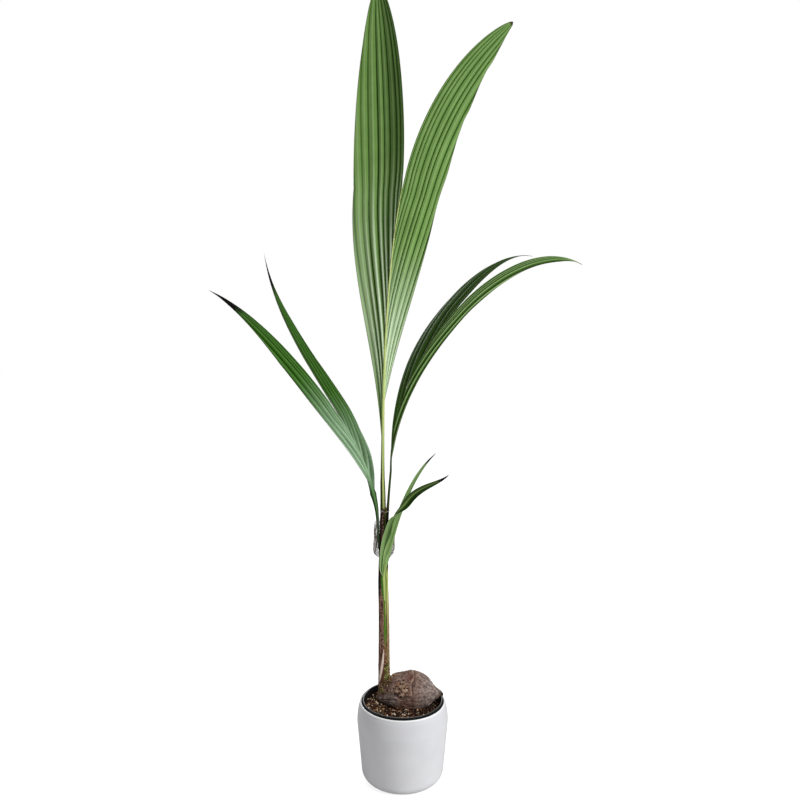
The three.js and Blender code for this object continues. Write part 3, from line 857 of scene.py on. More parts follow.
def rough(x, y, z):
    """Soft noise between -1 and 1 for whole grids of places."""
    flat = [noise.noise(Vector(place)) for place in zip(np.ravel(x), np.ravel(y), np.ravel(z))]
    return np.reshape(flat, np.shape(x))


# %% Nut
# x, y, z and radius in millimetres, from the shoot end to the tail
NUT_LINE = [
    (-62, 17, 182, 2.5), (-52, 18, 184, 14), (-29, 23, 191.5, 35), (-6, 29, 189.5, 43.5),
    (24, 33, 187.5, 48.5), (56, 29, 188.5, 37), (76, 19, 190, 16.5), (95, 12, 190.8, 2.6),
]
NUT_DEPTH = 0.9            # front to back, as a share of its height
NUT_KEEL = 0.035           # how much its three keels stand out
# The torn gashes on its left half: depth, place round in degrees and width, place along and
# length, and the reach, rate and seed of each gash's wavering.
GASHES = [
    (1.0, 175, 3.0, 1, 12, (8, 14, 0)),
    (0.8, 190, 3.5, -38, 18, (7, 11, 3)),
    (0.6, 202, 3.0, -30, 14, (5, 9, 6)),
    (0.7, 150, 3.0, -14, 9, (14, 12, 8)),
]


def split_line(turn):
    """Where along x the split runs, for each place round the nut."""
    return 23.5 + 3.2 * np.cos(np.radians(turn - 95) * 2.6) + 1.2 * np.sin(np.radians(turn) * 7)


def nut_features(along, around, t, ring_y, ring_z):
    """The split, the flakes, the gashes and the flat side, over the whole grid."""
    beside = along - split_line(around) + 1.6 * rough(ring_y * 6, ring_z * 6, t * 0)
    split_reach = smoothstep(around, 76, 92) * (1 - smoothstep(around, 152, 186))
    broken = 0.45 + 0.55 * smoothstep(rough(ring_y * 7, ring_z * 7, t * 3 + 9), -0.25, 0.1)
    deeper = 0.35 + 0.65 * smoothstep(around, 110, 140)
    flaky = bell(along, -4, 19) * bell(around, 154, 26)
    ragged = rough(ring_y * 10, ring_z * 10, t * 17) + 0.5 * rough(ring_y * 23, ring_z * 23, t * 45)
    gash = 0
    for depth, turn, width, middle, length, (reach, rate, seed) in GASHES:
        waver = reach * rough(t * rate, t * 0, t * 0 + seed)
        gash = gash + depth * bell(around + waver, turn, width) * bell(along, middle, length)
    return {
        "beside": beside, "split_reach": split_reach, "ragged": ragged, "gash": gash,
        "groove": bell(beside, 1.5, 1.2) * split_reach * deeper,
        "lip": bell(beside, -1.6, 1.7) * split_reach * broken,
        "flake": smoothstep(flaky + 0.6 * ragged, 0.5, 0.7),
        "gaps": smoothstep(flaky, 0.3, 0.55) * smoothstep(-ragged, 0.0, 0.3),
        "facet": (1 - smoothstep(along, -26, -2)) * bell(around, 190, 36),
    }


def nut_masks(along, around, t, ring_y, ring_z, crumple, seen):
    """The masks that the husk's finish colours by."""
    stained = smoothstep(rough(ring_y * 3, ring_z * 3, t * 8 + 21), -0.3, 0.3)
    rust = np.clip(bell(seen["beside"], -9, 11) * seen["split_reach"] * (0.3 + 0.7 * stained)
                   + bell(along, -40, 14) * bell(around, 130, 50)
                   + 0.7 * bell(along, 3, 20) * bell(around, 200, 22), 0, 1)
    grey = smoothstep(along, 24, 60) * 0.8 + 0.8 * seen["facet"]
    pale = 0.9 * seen["lip"] + 0.9 * seen["flake"] * smoothstep(seen["ragged"], -0.2, 0.5)
    # Painted shade along the nut's lower front side.
    shade_beneath = 0.75 * smoothstep(around, 203, 222)
    crack = np.abs(rough(ring_y * 3.6, ring_z * 3.6, t * 9 + 5) + 0.25 * crumple)
    cracked = smoothstep(rough(ring_y * 2.2, ring_z * 2.2, t * 5 + 11), -0.25, 0.15)
    creases = 0.45 * (1 - smoothstep(crack, 0.0, 0.11)) * cracked * (1 - 0.6 * seen["facet"])
    # The dark mask is partly painted shade, in the split's groove, the gashes, the gaps between the
    # flakes, along the lower front side and under the nose, and partly fine crack lines and a darker
    # tail end.
    dark = 0.8 * seen["groove"] + seen["gash"] + smoothstep(along, 82, 93) + shade_beneath + creases
    dark = np.clip(dark, 0, 1)
    dark = np.maximum(dark, 0.5 * bell(along, -42, 18) * smoothstep(around, 186, 204))
    dark = np.maximum(dark, 0.7 * seen["gaps"])
    return {"rust": rust, "grey": grey, "pale": np.clip(pale, 0, 1), "dark": dark}


def nut_body(rows=176, columns=208):
    line = through(NUT_LINE, rows)
    turn = np.linspace(0, 360, columns, endpoint=False)
    along, around = np.meshgrid(line[:, 0], turn, indexing="ij")
    angle = np.radians(around)
    ring_y, ring_z = np.cos(angle), np.sin(angle)
    t = np.repeat(np.linspace(0, 1, rows)[:, None], columns, 1)
    grid = (along, around, t, ring_y, ring_z)
    seen = nut_features(*grid)

    dents = 2.2 * rough(ring_y * 2.0, ring_z * 2.0, t * 7 + 2)
    furrows = 1.0 * rough(ring_y * 5, ring_z * 5, t * 4.5)
    furrows += 0.5 * rough(ring_y * 15, ring_z * 15, t * 8)
    crumple = 1.2 * rough(ring_y * 6, ring_z * 6, t * 15 + 4)
    crumple += 0.7 * rough(ring_y * 13, ring_z * 13, t * 34)
    radius = np.repeat(line[:, 3:], columns, 1)
    full = np.clip(radius / 26, 0, 1)
    relief = (dents + furrows + crumple) * full * (1 - 0.75 * seen["facet"])
    relief += (1.4 * seen["lip"] - 2.0 * seen["groove"] + 1.6 * seen["flake"]
               - 2.6 * seen["gash"] - 1.6 * seen["gaps"])

    keel = 1 + NUT_KEEL * np.cos(3 * (angle - math.radians(95)))
    height = radius * keel + relief
    y = line[:, 1:2] + NUT_DEPTH * height * ring_y
    z = line[:, 2:3] + height * ring_z
    on_rim = smoothstep(np.hypot(along, y), 84, 89)
    z = np.where(z < RIM_TOP + 0.6, lerp(z, RIM_TOP + 0.6, on_rim), z)
    return closed_loft("nut_husk", np.stack([along, y, z], 2) * MM,
                       grain=np.stack([ring_y, ring_z, t * 0.9], 2),
                       **nut_masks(*grid, crumple, seen))


def husk_finish():
    material, tree, shader = new_finish("dry_husk", 0.8, specular_ior_level=0.15)
    grain = attribute(tree, "grain", "Vector")
    fibres = effect(tree, STREAKS, place=grain, scale=22.0, contrast=0.36)
    place = object_place(tree)
    blotch = patches(tree, place, 70.0, 0.38, 0.62)
    specks = patches(tree, place, 420.0, 0.58, 0.68)
    mottle = patches(tree, place, 165.0, 0.42, 0.58)
    body = mix_colours(tree, blotch, paint("#4c362c"), paint("#8f7164"))
    body = tinted(tree, body, "#ae9284", mottle, 0.7)
    body = tinted(tree, body, "#74433a", attribute(tree, "rust"), 0.75)
    grey_skin = mix_colours(tree, mottle, paint("#8b7a75"), paint("#c2b2ab"))
    body = tinted(tree, body, grey_skin, attribute(tree, "grey"))
    body = tinted(tree, body, "#34251f", fibres.outputs["Streak"], 0.38)
    body = tinted(tree, body, "#b7a493", specks, 0.45)
    body = tinted(tree, body, "#c9a78f", attribute(tree, "pale"), 0.8)
    body = tinted(tree, body, "#1a100d", attribute(tree, "dark"))
    rough_skin = remap(tree, fibres.outputs["Streak"], 0, 1, 0.6, 0.9)
    tree.links.new(rough_skin, shader.inputs["Roughness"])
    dress(tree, shader, body, fibres.outputs["Height"], 0.7, 0.0012)
    return material


nut = nut_body()
keep(nut, "husk", "coconut", material=husk_finish())


def patch_of(piece, name, inside):
    """The faces of a piece whose middle passes the test, as a piece of its own."""
    mesh = piece.data
    points = [tuple(vertex.co) for vertex in mesh.vertices]
    faces = [tuple(face.vertices) for face in mesh.polygons if inside(face.center / MM)]
    return new_piece(name, points, faces)


def flaking(middle):
    round_patch = math.hypot((middle.x + 12) / 24, (middle.z - 208) / 20) < 1
    by_stem = middle.x < -24 and middle.z > 196
    return middle.y < 30 and middle.z > 186 and (round_patch or by_stem)


HUSK_FLAKE = chip_finish("husk_flake", [(0.0, "#20120d"), (0.3, "#5c382b"), (0.6, "#7d5843"),
                                        (0.85, "#a78669"), (1.0, "#e6d2b8")])
scattered_over(patch_of(nut, "flaking_patch", flaking), "husk_flakes", "husk", HUSK_FLAKE,
               density=30000.0, smallest=0.6, largest=3.4, flatness=0.3, length=1.7,
               lowest_slope=-2.0, seed=31)


def mossy(middle):
    beside_stem = math.hypot(middle.x + 42, middle.y - 30) < 24
    return beside_stem and middle.y < 34 and middle.z > 196


MOSS_FLAKE = chip_finish("moss_flake", [(0.0, "#22140a"), (0.25, "#7a2e1a"), (0.45, "#46611a"),
                                        (0.75, "#8f963a"), (0.9, "#c09a64"), (1.0, "#f0d9b8")])
scattered_over(patch_of(nut, "mossy_patch", mossy), "moss_flakes", "husk", MOSS_FLAKE,
               density=130000.0, smallest=0.6, largest=2.8, flatness=0.4, length=1.6,
               lowest_slope=-2.0, seed=37)

# %% [markdown]
# Loose fibres stand off the husk along its length, with a tuft at each end. They are strands
# again, and each starts on the nut's surface and follows it.

# %% Husk fibres
HUSK_FIBRE = fibre_finish("husk_fibre", [(0.0, "#3a271f"), (0.5, "#7c6350"), (1.0, "#a78c72")])
nut_line = through(NUT_LINE, 200)


def husk_path(start, turn, length, lift):
    rows = np.linspace(start, min(start + length, 196), 8)
    path = []
    for k, row in enumerate(rows):
        x, y, z, radius = nut_line[int(row)]
        stand_off = radius + 0.5 + lift * (k / 7) ** 2
        angle = math.radians(turn + 2.5 * math.sin(k * 1.3 + turn))
        keel = 1 + NUT_KEEL * math.cos(3 * (angle - math.radians(95)))
        path.append((x, y + NUT_DEPTH * stand_off * keel * math.cos(angle),
                     z + stand_off * keel * math.sin(angle)))
    return path


husk_paths = [husk_path(dice.uniform(26, 165), dice.uniform(20, 200), dice.uniform(8, 22),
                        dice.uniform(0, 1.6)) for _ in range(150)]
husk_paths += [husk_path(dice.uniform(2, 22), dice.uniform(60, 200), dice.uniform(8, 20),
                         dice.uniform(0, 4)) for _ in range(26)]
husk_paths += [husk_path(dice.uniform(172, 184), dice.uniform(0, 360), dice.uniform(9, 14),
                         dice.uniform(0, 3)) for _ in range(34)]
strands("husk_fibres", husk_paths, "husk", HUSK_FIBRE, 0.26, wander=0.0012, wander_scale=60.0)

# %% [markdown]
# ## The stem
#
# What looks like a stem is a roll of leaf sheaths, each wrapped round the next younger one. The
# outer two end in edges that run down the front. Between them the green of the next sheath
# shows in a narrow channel. The left one has dried brown and pinkish, the right one is still
# pale green above and brown below, and near the soil all of it is rough and mossy.
#
# It could be built as several nested tubes. One tube is enough if its radius steps at each
# sheath's edge, because only the step is seen. Masks for the dry, fresh and mossy parts ride on
# the same grid.

# %% Stem measures
STEM_FOOT = (-43.6, 35.0)
STEM_TOP = (-42.0, 35.0)
STEM_TOP_LEVEL = 622.0
STEM_BOW = -2.2            # how far it bends to the left half way up
COLLAR_LEVEL = 629.0       # where the ragged tops of the sheaths end


def stem_axis(level):
    level = np.asarray(level, float)
    t = (level - SOIL_LEVEL) / (STEM_TOP_LEVEL - SOIL_LEVEL)
    bow = STEM_BOW * bell(level, 465, 75)
    return lerp(STEM_FOOT[0], STEM_TOP[0], t) + bow, lerp(STEM_FOOT[1], STEM_TOP[1], t)


def stem_radius(level):
    t = np.clip((np.asarray(level, float) - SOIL_LEVEL) / (STEM_TOP_LEVEL - SOIL_LEVEL), 0, 1)
    return lerp(13.2, 9.6, t ** 1.2) + 1.6 * np.exp(-22 * t)


print("stem radius in mm, foot and top:", stem_radius(165), stem_radius(622))


# %% Stem
CHANNEL = (266, 300)       # degrees round the stem between the two outer sheaths, 270 is front
CHANNEL_DEPTH = 0.4
SHEATH_STANDS = (1.3, 0.7)     # how far the left and the right sheath stand out over the channel


def sheath_edges(turn, level):
    """Where the edges of the two outer sheaths run, and where each sheath lies."""
    waver = 3.5 * rough(level * 0.012, level * 0, level * 0 + 5)
    waver += 1.2 * rough(level * 0.06, level * 0, level * 0)
    left_edge = CHANNEL[0] + waver
    right_edge = CHANNEL[1] + 0.7 * waver
    left_sheath = smoothstep(turn, 60, 75) * (1 - smoothstep(turn, left_edge - 1.5, left_edge + 1.5))
    right_sheath = smoothstep(turn, right_edge - 1.5, right_edge + 1.5)
    return left_edge, right_edge, left_sheath, right_sheath


def stem_masks(turn, level, spin_x, spin_y, sheaths):
    """The masks that the stem's finish colours by."""
    left_edge, right_edge, left_sheath, right_sheath = sheaths
    fresh = (1 - np.clip(left_sheath + right_sheath, 0, 1)) * smoothstep(level, 285, 340)
    tan_edge = smoothstep(turn + 5 * rough(level * 0.05, turn * 0.02, level * 0),
                          330 - 42 * (1 - smoothstep(level, 330, 440)), 352)
    lime = right_sheath * (1 - tan_edge) * smoothstep(level, 290, 430)
    lime_edge = smoothstep(turn, right_edge - 20, right_edge - 8) * smoothstep(level, 345, 400)
    lime = np.maximum(lime, fresh * lime_edge)
    fresh = fresh * (1 - lime_edge)
    moss_noise = rough(spin_x * 3, spin_y * 3, level * 0.045)
    moss = 1.3 * bell(level, 218, 50) * bell(turn, 292, 44) * smoothstep(moss_noise, -0.35, -0.05)
    rust = bell(level, 276, 26) * bell(turn, 272, 22) + bell(level, 190, 16) * bell(turn, 300, 24)
    rust += bell(level, 225, 30) * bell(turn, 268, 12) * smoothstep(moss_noise, 0.1, -0.2)
    shade = smoothstep(level, 470, 500) * smoothstep(turn, 250, 262)
    shade = shade * (0.75 + 0.25 * smoothstep(turn, 284, 296))
    # Dark lines along the two sheath edges, then painted shade on the stem's left side from 200 mm up
    # and on its right side above 480 mm.
    seams_and_shade = np.clip(bell(turn, left_edge + 1.5, 1.6) + bell(turn, right_edge - 1, 1.4), 0, 1)
    seams_and_shade *= smoothstep(level, 230, 300)
    dark_to = lerp(208, 238, smoothstep(level, 400, 450))
    shaded_side = smoothstep(turn, 140, 160) * (1 - smoothstep(turn, dark_to - 8, dark_to + 8))
    seams_and_shade = seams_and_shade + 0.92 * shaded_side * smoothstep(level, 200, 240)
    seams_and_shade = np.clip(seams_and_shade + smoothstep(level, 480, 500) * smoothstep(turn, 290, 300), 0, 1)
    return {"dry": left_sheath, "fresh": fresh, "lime": lime, "moss": np.clip(moss, 0, 1),
            "rust": np.clip(rust, 0, 1), "shade": shade, "seams_and_shade": seams_and_shade}


def stem_body(rows=250, columns=132):
    level, turn = np.meshgrid(np.linspace(158, COLLAR_LEVEL, rows),
                              np.linspace(0, 360, columns, endpoint=False), indexing="ij")
    angle = np.radians(turn)
    spin_x, spin_y = np.cos(angle), np.sin(angle)
    axis_x, axis_y = stem_axis(level)
    sheaths = sheath_edges(turn, level)
    ribs = 0.22 * rough(spin_x * 9, spin_y * 9, level * 0.008)
    low = 1 - smoothstep(level, 172, 300)
    bumps = (0.35 + 1.1 * low) * rough(spin_x * 2.4, spin_y * 2.4, level * 0.05)
    bumps += 0.5 * low * rough(spin_x * 8, spin_y * 8, level * 0.2)
    top = smoothstep(level, 600, COLLAR_LEVEL)
    radius = stem_radius(level) - CHANNEL_DEPTH + SHEATH_STANDS[0] * sheaths[2]
    radius = radius + SHEATH_STANDS[1] * sheaths[3] + ribs + bumps
    radius *= 1 - 0.12 * top
    x = axis_x + radius * spin_x + 2.2 * top
    y = axis_y + radius * spin_y
    grain = np.stack([spin_x * 0.011, spin_y * 0.011, level * MM * 0.07], 2)
    return closed_loft("rolled_sheaths", np.stack([x, y, level], 2) * MM, grain=grain,
                       **stem_masks(turn, level, spin_x, spin_y, sheaths))


def stem_finish():
    material, tree, shader = new_finish("stem_sheaths", 0.62, specular_ior_level=0.12)
    grain = attribute(tree, "grain", "Vector")
    fibres = effect(tree, STREAKS, place=grain, scale=900.0, contrast=0.4)
    blotch = patches(tree, grain, 330.0, 0.4, 0.62)
    flecks = patches(tree, object_place(tree), 300.0, 0.54, 0.6)
    tan = mix_colours(tree, blotch, paint("#775c36"), paint("#a98a5c"))
    dry = mix_colours(tree, blotch, paint("#3f251c"), paint("#b3826c"))
    body = mix_colours(tree, attribute(tree, "dry"), tan, dry)
    for mask, colour, share in (("lime", "#cdd37c", 1.0), ("fresh", "#568f1c", 1.0),
                                ("moss", "#56781c", 1.0), ("rust", "#742f16", 1.0),
                                ("shade", "#26340f", 0.85)):
        body = tinted(tree, body, colour, attribute(tree, mask), share)
    body = tinted(tree, body, "#2b1c14", fibres.outputs["Streak"], 0.5)
    smooth_skin = calculate(tree, "MAXIMUM", attribute(tree, "fresh"), attribute(tree, "lime"))
    fleck_share = remap(tree, smooth_skin, 0, 1, 0.65, 0.12)
    body = tinted(tree, body, "#d3b09b", flecks, fleck_share)
    # Dark sheath edges, and painted shade on the stem's sides.
    body = tinted(tree, body, "#120b06", attribute(tree, "seams_and_shade"))
    skin = remap(tree, attribute(tree, "fresh"), 0, 1, 0.74, 0.42)
    tree.links.new(skin, shader.inputs["Roughness"])
    dress(tree, shader, body, fibres.outputs["Height"], 0.6, 0.0007)
    return material


stem = stem_body()
keep(stem, "stem_sheaths", "stem", material=stem_finish())

# %% [markdown]
# The sheaths end in torn fringes: fibres along their edges and at the collar, where the leaf
# stalks come out. Flakes of old sheath and moss cling to the foot of the stem. They come from
# the two trees above, fed with paths and with bands of the stem's surface.

# %% Fringes of the stem
SHEATH_FIBRE = fibre_finish("sheath_fibre", [(0.0, "#2c1c12"), (0.5, "#6d5040"), (1.0, "#a08064")])


def stem_path(low, high, turn, drift, stand_off, count=12):
    path = []
    for k in range(count):
        level = lerp(low, high, k / (count - 1))
        axis_x, axis_y = stem_axis(level)
        out = float(stem_radius(level)) + stand_off * (0.6 + 0.4 * math.sin(k * 1.7 + turn))
        angle = math.radians(turn + drift * k / (count - 1))
        path.append((axis_x + out * math.cos(angle), axis_y + out * math.sin(angle), level))
    return path


fringe_paths = []
for _ in range(46):
    start = dice.uniform(200, 400)
    turn = dice.choice([dice.uniform(150, 262), CHANNEL[0] - 2, CHANNEL[1] + 3])
    fringe_paths.append(stem_path(start, start + dice.uniform(30, 90), turn, dice.uniform(-4, 4), 0.6))
for turn in dice.uniform(0, 360, 60):
    fringe_paths.append(stem_path(600, dice.uniform(612, 640), turn, dice.uniform(-14, 14), -0.3, 8))
for turn in dice.uniform(170, 370, 44):
    fringe_paths.append(stem_path(168, dice.uniform(176, 205), turn, dice.uniform(-16, 16), 1.4, 7))
strands("sheath_fringes", fringe_paths, "stem_sheaths", SHEATH_FIBRE, 0.24, wander=0.0007)
PALE_STRANDS = [
    [(-42, 21, 622.5), (-37, 20.5, 624), (-32, 21.5, 626), (-26, 24, 628.5)],
    [(-49, 24, 627), (-46, 21.5, 625), (-43, 21, 623)],
]
PALE_FIBRE = fibre_finish("pale_fibre", [(0.0, "#e4d8c2"), (1.0, "#fffaf0")])
strands("pale_fringes", PALE_STRANDS, "stem_sheaths", PALE_FIBRE, 0.8, wander=0.0007)


def stem_band(name, low, high, from_turn, to_turn, rows=14, columns=30):
    """A bare strip of the stem's surface, to deal flakes over."""
    turns = np.radians(np.linspace(from_turn, to_turn, columns))
    rings = []
    for level in np.linspace(low, high, rows):
        axis_x, axis_y = stem_axis(level)
        out = float(stem_radius(level)) - CHANNEL_DEPTH
        rings.append(np.stack([axis_x + out * np.cos(turns), axis_y + out * np.sin(turns),
                               np.full(columns, level)], 1))
    return new_piece(name, np.concatenate(rings) * MM, grid_faces(rows, columns))


FLAKE = chip_finish("sheath_flake", [(0.0, "#33200f"), (0.35, "#5c3a22"), (0.6, "#4c5a20"),
                                     (0.8, "#a3875a"), (1.0, "#e2c8a2")])
scattered_over(stem_band("moss_band", 184, 268, 264, 340), "stem_moss", "stem_sheaths",
               MOSS_FLAKE, density=110000.0, smallest=0.5, largest=2.2, flatness=0.35,
               length=1.8, lowest_slope=-2.0, seed=41)
scattered_over(stem_band("foot_band", 168, 268, 165, 380), "foot_flakes", "stem_sheaths",
               FLAKE, density=90000.0, smallest=0.5, largest=2.1, flatness=0.32, length=2.0,
               lowest_slope=-2.0, seed=5)

# %% [markdown]
# ## Scale leaf and net sheath
#
# Two sheaths stand apart from the roll. Low on the front a scale leaf, the first that the
# seedling made, has dried to a cream and pink point. Higher up the oldest sheath has worn down
# to its fibres, which cross each other like sacking and let the light through.
#
# A picture of sacking on a sheet would be quicker. But real crossing strands give the torn top
# edge and the fuzzy outline, and a sheath is small enough to afford them.

# %% Sheets round the stem
def sheet_body(name, front, back, **attributes):
    """A closed thin body between two grids of points that share their outline."""
    rows, columns = front.shape[:2]
    points = np.concatenate([front.reshape(-1, 3), back.reshape(-1, 3)])
    half = rows * columns
    faces = []
    for i in range(rows - 1):
        for j in range(columns - 1):
            a, b, c, d = (i * columns + j, i * columns + j + 1,
                          (i + 1) * columns + j + 1, (i + 1) * columns + j)
            faces += [(a, d, c, b), (half + a, half + b, half + c, half + d)]
        a, d = i * columns, (i + 1) * columns
        faces.append((a, half + a, half + d, d))
        a, d = a + columns - 1, d + columns - 1
        faces.append((a, d, half + d, half + a))
    last = (rows - 1) * columns
    for j in range(columns - 1):
        faces.append((j, j + 1, half + j + 1, half + j))
        faces.append((last + j, half + last + j, half + last + j + 1, last + j + 1))
    if volume_inside(points, faces) < 0:
        faces = [face[::-1] for face in faces]
    attributes = {key: np.tile(np.ravel(values), 2) for key, values in attributes.items()}
    return new_piece(name, points, faces, **attributes)


# %% Scale leaf
SCALE = {"low": 214, "high": 298, "edges": (206, 264), "tip": (266, 268), "thickness": 0.8}


def scale_leaf(rows=60, columns=22):
    t, u = np.meshgrid(np.linspace(0, 1, rows), np.linspace(0, 1, columns), indexing="ij")
    level = lerp(SCALE["low"], SCALE["high"], t)
    left = lerp(SCALE["edges"][0], SCALE["tip"][0], t)
    right = lerp(SCALE["edges"][1], SCALE["tip"][1], t) + 9 * np.sin(np.pi * t)
    angle = np.radians(lerp(left, right, u))
    axis_x, axis_y = stem_axis(level)
    swell = 1.6 * bell(u, 0.25, 0.16) * (1 - t) + 0.5 * rough(u * 6, t * 9, t * 0)
    peel = 2.4 * smoothstep(t, 0.8, 1.0)
    inside = stem_radius(level) + 0.7 + swell + peel
    thick = SCALE["thickness"] * np.clip(np.minimum(u, 1 - u) * 8, 0.15, 1)
    grids = [np.stack([axis_x + r * np.cos(angle), axis_y + r * np.sin(angle), level], 2) * MM
             for r in (inside + thick, inside)]
    return sheet_body("scale_leaf", *grids, across=u, along=t)


def scale_finish():
    material, tree, shader = new_finish("dry_scale", 0.66)
    across = attribute(tree, "across")
    along = attribute(tree, "along")
    drawn_out = times(tree, along, 0.25)
    place = add(tree, "ShaderNodeCombineXYZ", {0: across, 1: drawn_out})
    fibres = effect(tree, STREAKS, place=place.outputs[0], scale=26.0, contrast=0.5)
    cream = mix_colours(tree, fibres.outputs["Streak"], paint("#fff3e8"), paint("#eac6b1"))
    waver = times(tree, fibres.outputs["Height"], 0.12)
    seen = calculate(tree, "ADD", across, waver)
    turning = calculate(tree, "MULTIPLY_ADD", along, -0.62, seen)
    body = tinted(tree, cream, "#5e3019", remap(tree, turning, 0.4, 0.48))
    colour = tinted(tree, body, "#4b3527", remap(tree, along, 0.15, 0.0, 0.0, 0.5))
    dress(tree, shader, colour, fibres.outputs["Height"], 0.5, 0.0004)
    return material


scale = scale_leaf()
keep(scale, "dry_scale", "sheath_scale", material=scale_finish())

# %% Net sheath
NET = {"low": 512, "high": 606, "edges": (-14, 198), "gap": 1.2, "flare": 12.6}


def net_place(turn, level, lift=0.0):
    t = (level - NET["low"]) / (NET["high"] - NET["low"])
    axis_x, axis_y = stem_axis(level)
    flare = NET["flare"] * float(smoothstep(t, -0.05, 0.17))
    out = float(stem_radius(level)) + NET["gap"] + flare + lift * min(1, 4 * t)
    angle = math.radians(turn)
    return axis_x + out * math.cos(angle), axis_y + out * math.sin(angle), level


def net_paths(slant, count):
    paths = []
    low, high = NET["low"], NET["high"]
    for start in np.linspace(NET["edges"][0] - 70, NET["edges"][1] + 70, count):
        top = high + dice.uniform(-12, 2)
        turn = start + dice.uniform(-2, 2)
        lift = dice.uniform(-9.5, 0.5)
        path = []
        for level in np.linspace(low, top, 15):
            place = turn + slant * (level - low) / (high - low) * 62
            if NET["edges"][0] <= place <= NET["edges"][1]:
                path.append(net_place(place, level, lift))
        if len(path) > 2:
            paths.append(path)
    return paths


NET_FIBRE = fibre_finish("net_fibre", [(0.0, "#9a9086"), (0.4, "#bdb4aa"), (0.75, "#d8d1c9"),
                                       (1.0, "#efeae4")])
net = net_paths(1, 112) + net_paths(-1, 112)
for turn in dice.uniform(NET["edges"][0], NET["edges"][1], 150):
    foot = dice.uniform(NET["low"], NET["high"] - 40)
    net.append([net_place(turn + dice.uniform(-4, 4) * k / 5, foot + k * dice.uniform(4, 8),
                          0.8 * math.sin(k + turn)) for k in range(6)])
strands("net_sheath", net, "fibre_net", NET_FIBRE, 0.25, nodes=("fibre_sheath",), wander=0.0014,
        wander_scale=130.0)

# %% [markdown]
# ## How a leaf grows
#
# Each leaf follows one simple law. A line starts at the top of the petiole and takes small
# steps. Its direction turns gradually: it leans out, arches over, and curls. Where the leaf is
# parted, each half goes on along its own course. Tracing a curve by hand for each of eight
# halves could reach the same shapes, but the law keeps them kin, as real leaves of one palm are.
#
# Most of the numbers below are those that shaped the CAD blades. A few were refined since, so a
# finished blade lies in its own node's place but doesn't follow the plain one to the millimetre.
# Lengths are in millimetres and angles in degrees. "Along" is a share of a half blade's length,
# from base to tip, and "across" is a share of its width, from the rib to the outer margin.

# %% Leaf measures
HALF_BLADE = {
    "start": 0,                # how far up the line it begins
    "share": 0,                # how much of its narrowing to the tip is on the rib's side
    "roll": 0,                 # how far it is turned about its line
    "twist": 0,                # and how much further at its very base
    "droop": 0,                # a further lean that comes in late, towards the tip
    "hook": 0,                 # a further turn sideways that comes in late
    "turn_over": None,         # how far it turns over, and from where to where along
    "bulge": 0.05,             # how high it arches between rib and margin, as a share of its width
    "keel": None,              # where across a sharp fold is pressed into it
    "opened": (-12, 46),       # from where to where past its start it opens to its full width
    "veins": 8,                # how many folds lie side by side
    "ended": 0.35,             # the share of them that has run out at the margin by the tip
    "deep": 1.0,               # depth of the folds, where 1 is the usual
    "plain": 0.0,              # how much the folds flatten out towards the margin
    "notch": 0.0,              # how far the margin steps in where a vein ends
    "dry": (0.97, 1.0),        # where along the tip begins to die back and is all dead
    "pale": None,              # where along it begins to be bleached and is all pale
    "bloom": (0.0, 0.3, 0.0),  # painted sheen on the ridges: how strong, where it ends and sets in
    "veil": (0.6, -0.5, 0.0),  # the same painted sheen laid evenly: how strong, and between which across
    "shade": (0.0, 0.3),       # a dark band beside the rib: how dark, and how far across
    "gloom": 0.0,              # how dark the painted shade over the lowest third is
}


def half(**measures):
    """A half blade. side is 1 or -1, for the two sides of the rib. length is its line's, and
    widest says where along it has its width. powers say how fast it widens from its base and
    narrows to its tip. rise and swing are a lean and a turn that begin at the parting."""
    return {**HALF_BLADE, **measures}


# A leaf's line starts at its base and heads away from the stem. The growth says how it leans,
# arches and curls, how it sweeps and veers sideways, and over which length. The petiole is a
# path of x, y and height over the stem's top, with a radius at its foot and at its top. Its
# flatness is its depth at the foot as a share of its width, and a widening above 1 keeps it
# thin further up.
TALL_LEAF = {
    "base": (-46, 35, 693), "heading": 85, "parted": 658,
    "growth": dict(lean=1, arch=5, curl=0, sweep=-6.6, veer=-31, length=1110),
    "petiole": [(-45, 35, 0), (-45.3, 35, 38), (-46, 35, 71)],
    "petiole_radius": (6.8, 5.4), "rib_radius": 0.9, "flatness": 1.0, "widening": 1.0,
    "halves": {
        "blade_tall_left": half(
            side=1, length=1140, width=125.6, widest=0.65, powers=(2.27, 0.56), share=0.27,
            roll=-18, rise=2, swing=30, hook=24, bulge=-0.07, veins=8.6, ended=0.25, deep=1.5,
            plain=0.6, bloom=(2.2, 0.68, 0.30), veil=(0.24, 0.4, 0.9), shade=(0.7, 0.5),
            gloom=0.65, dry=(0.985, 1.0)),
        "blade_tall_right": half(
            side=-1, start=150, length=1132, width=92.8, widest=0.58, powers=(1.37, 0.6),
            share=0.47, roll=18, rise=4, swing=-7.2, hook=-1.4, bulge=0.04, opened=(-12, 70),
            veins=9.5, ended=0.42, deep=1.3, notch=0.03, bloom=(1.3, 0.42, 0.0),
            shade=(0.25, 5.0), dry=(0.985, 1.0)),
    },
}
LEFT_LEAF = {
    "base": (-68, 38, 663), "heading": 158, "parted": 195,
    "growth": dict(lean=15.6, arch=73, curl=-90, sweep=0, veer=0, length=650),
    "petiole": [(-50, 35, -104), (-54.6, 35, -84), (-57, 35.5, -34), (-60.6, 36.8, 8),
                (-68, 38, 41)],
    "petiole_radius": (2.0, 7.8), "rib_radius": 1.2, "flatness": 0.5, "widening": 2.6,
    "halves": {
        "blade_left_near": half(
            side=1, length=645, width=51, widest=0.43, powers=(1.12, 1.01), roll=-22, rise=-2,
            droop=71, swing=7, veins=5.5, deep=1.3, bloom=(1.0, 0.52, 0.0), dry=(0.78, 0.91)),
        "blade_left_far": half(
            side=-1, length=645, width=71, widest=0.34, powers=(0.62, 1.4), rise=-20, droop=31,
            swing=-7, twist=-40, opened=(-140, 230), veins=5.5, deep=1.5,
            bloom=(0.7, 0.42, 0.0), shade=(0.4, 0.5), dry=(0.80, 0.92)),
    },
}
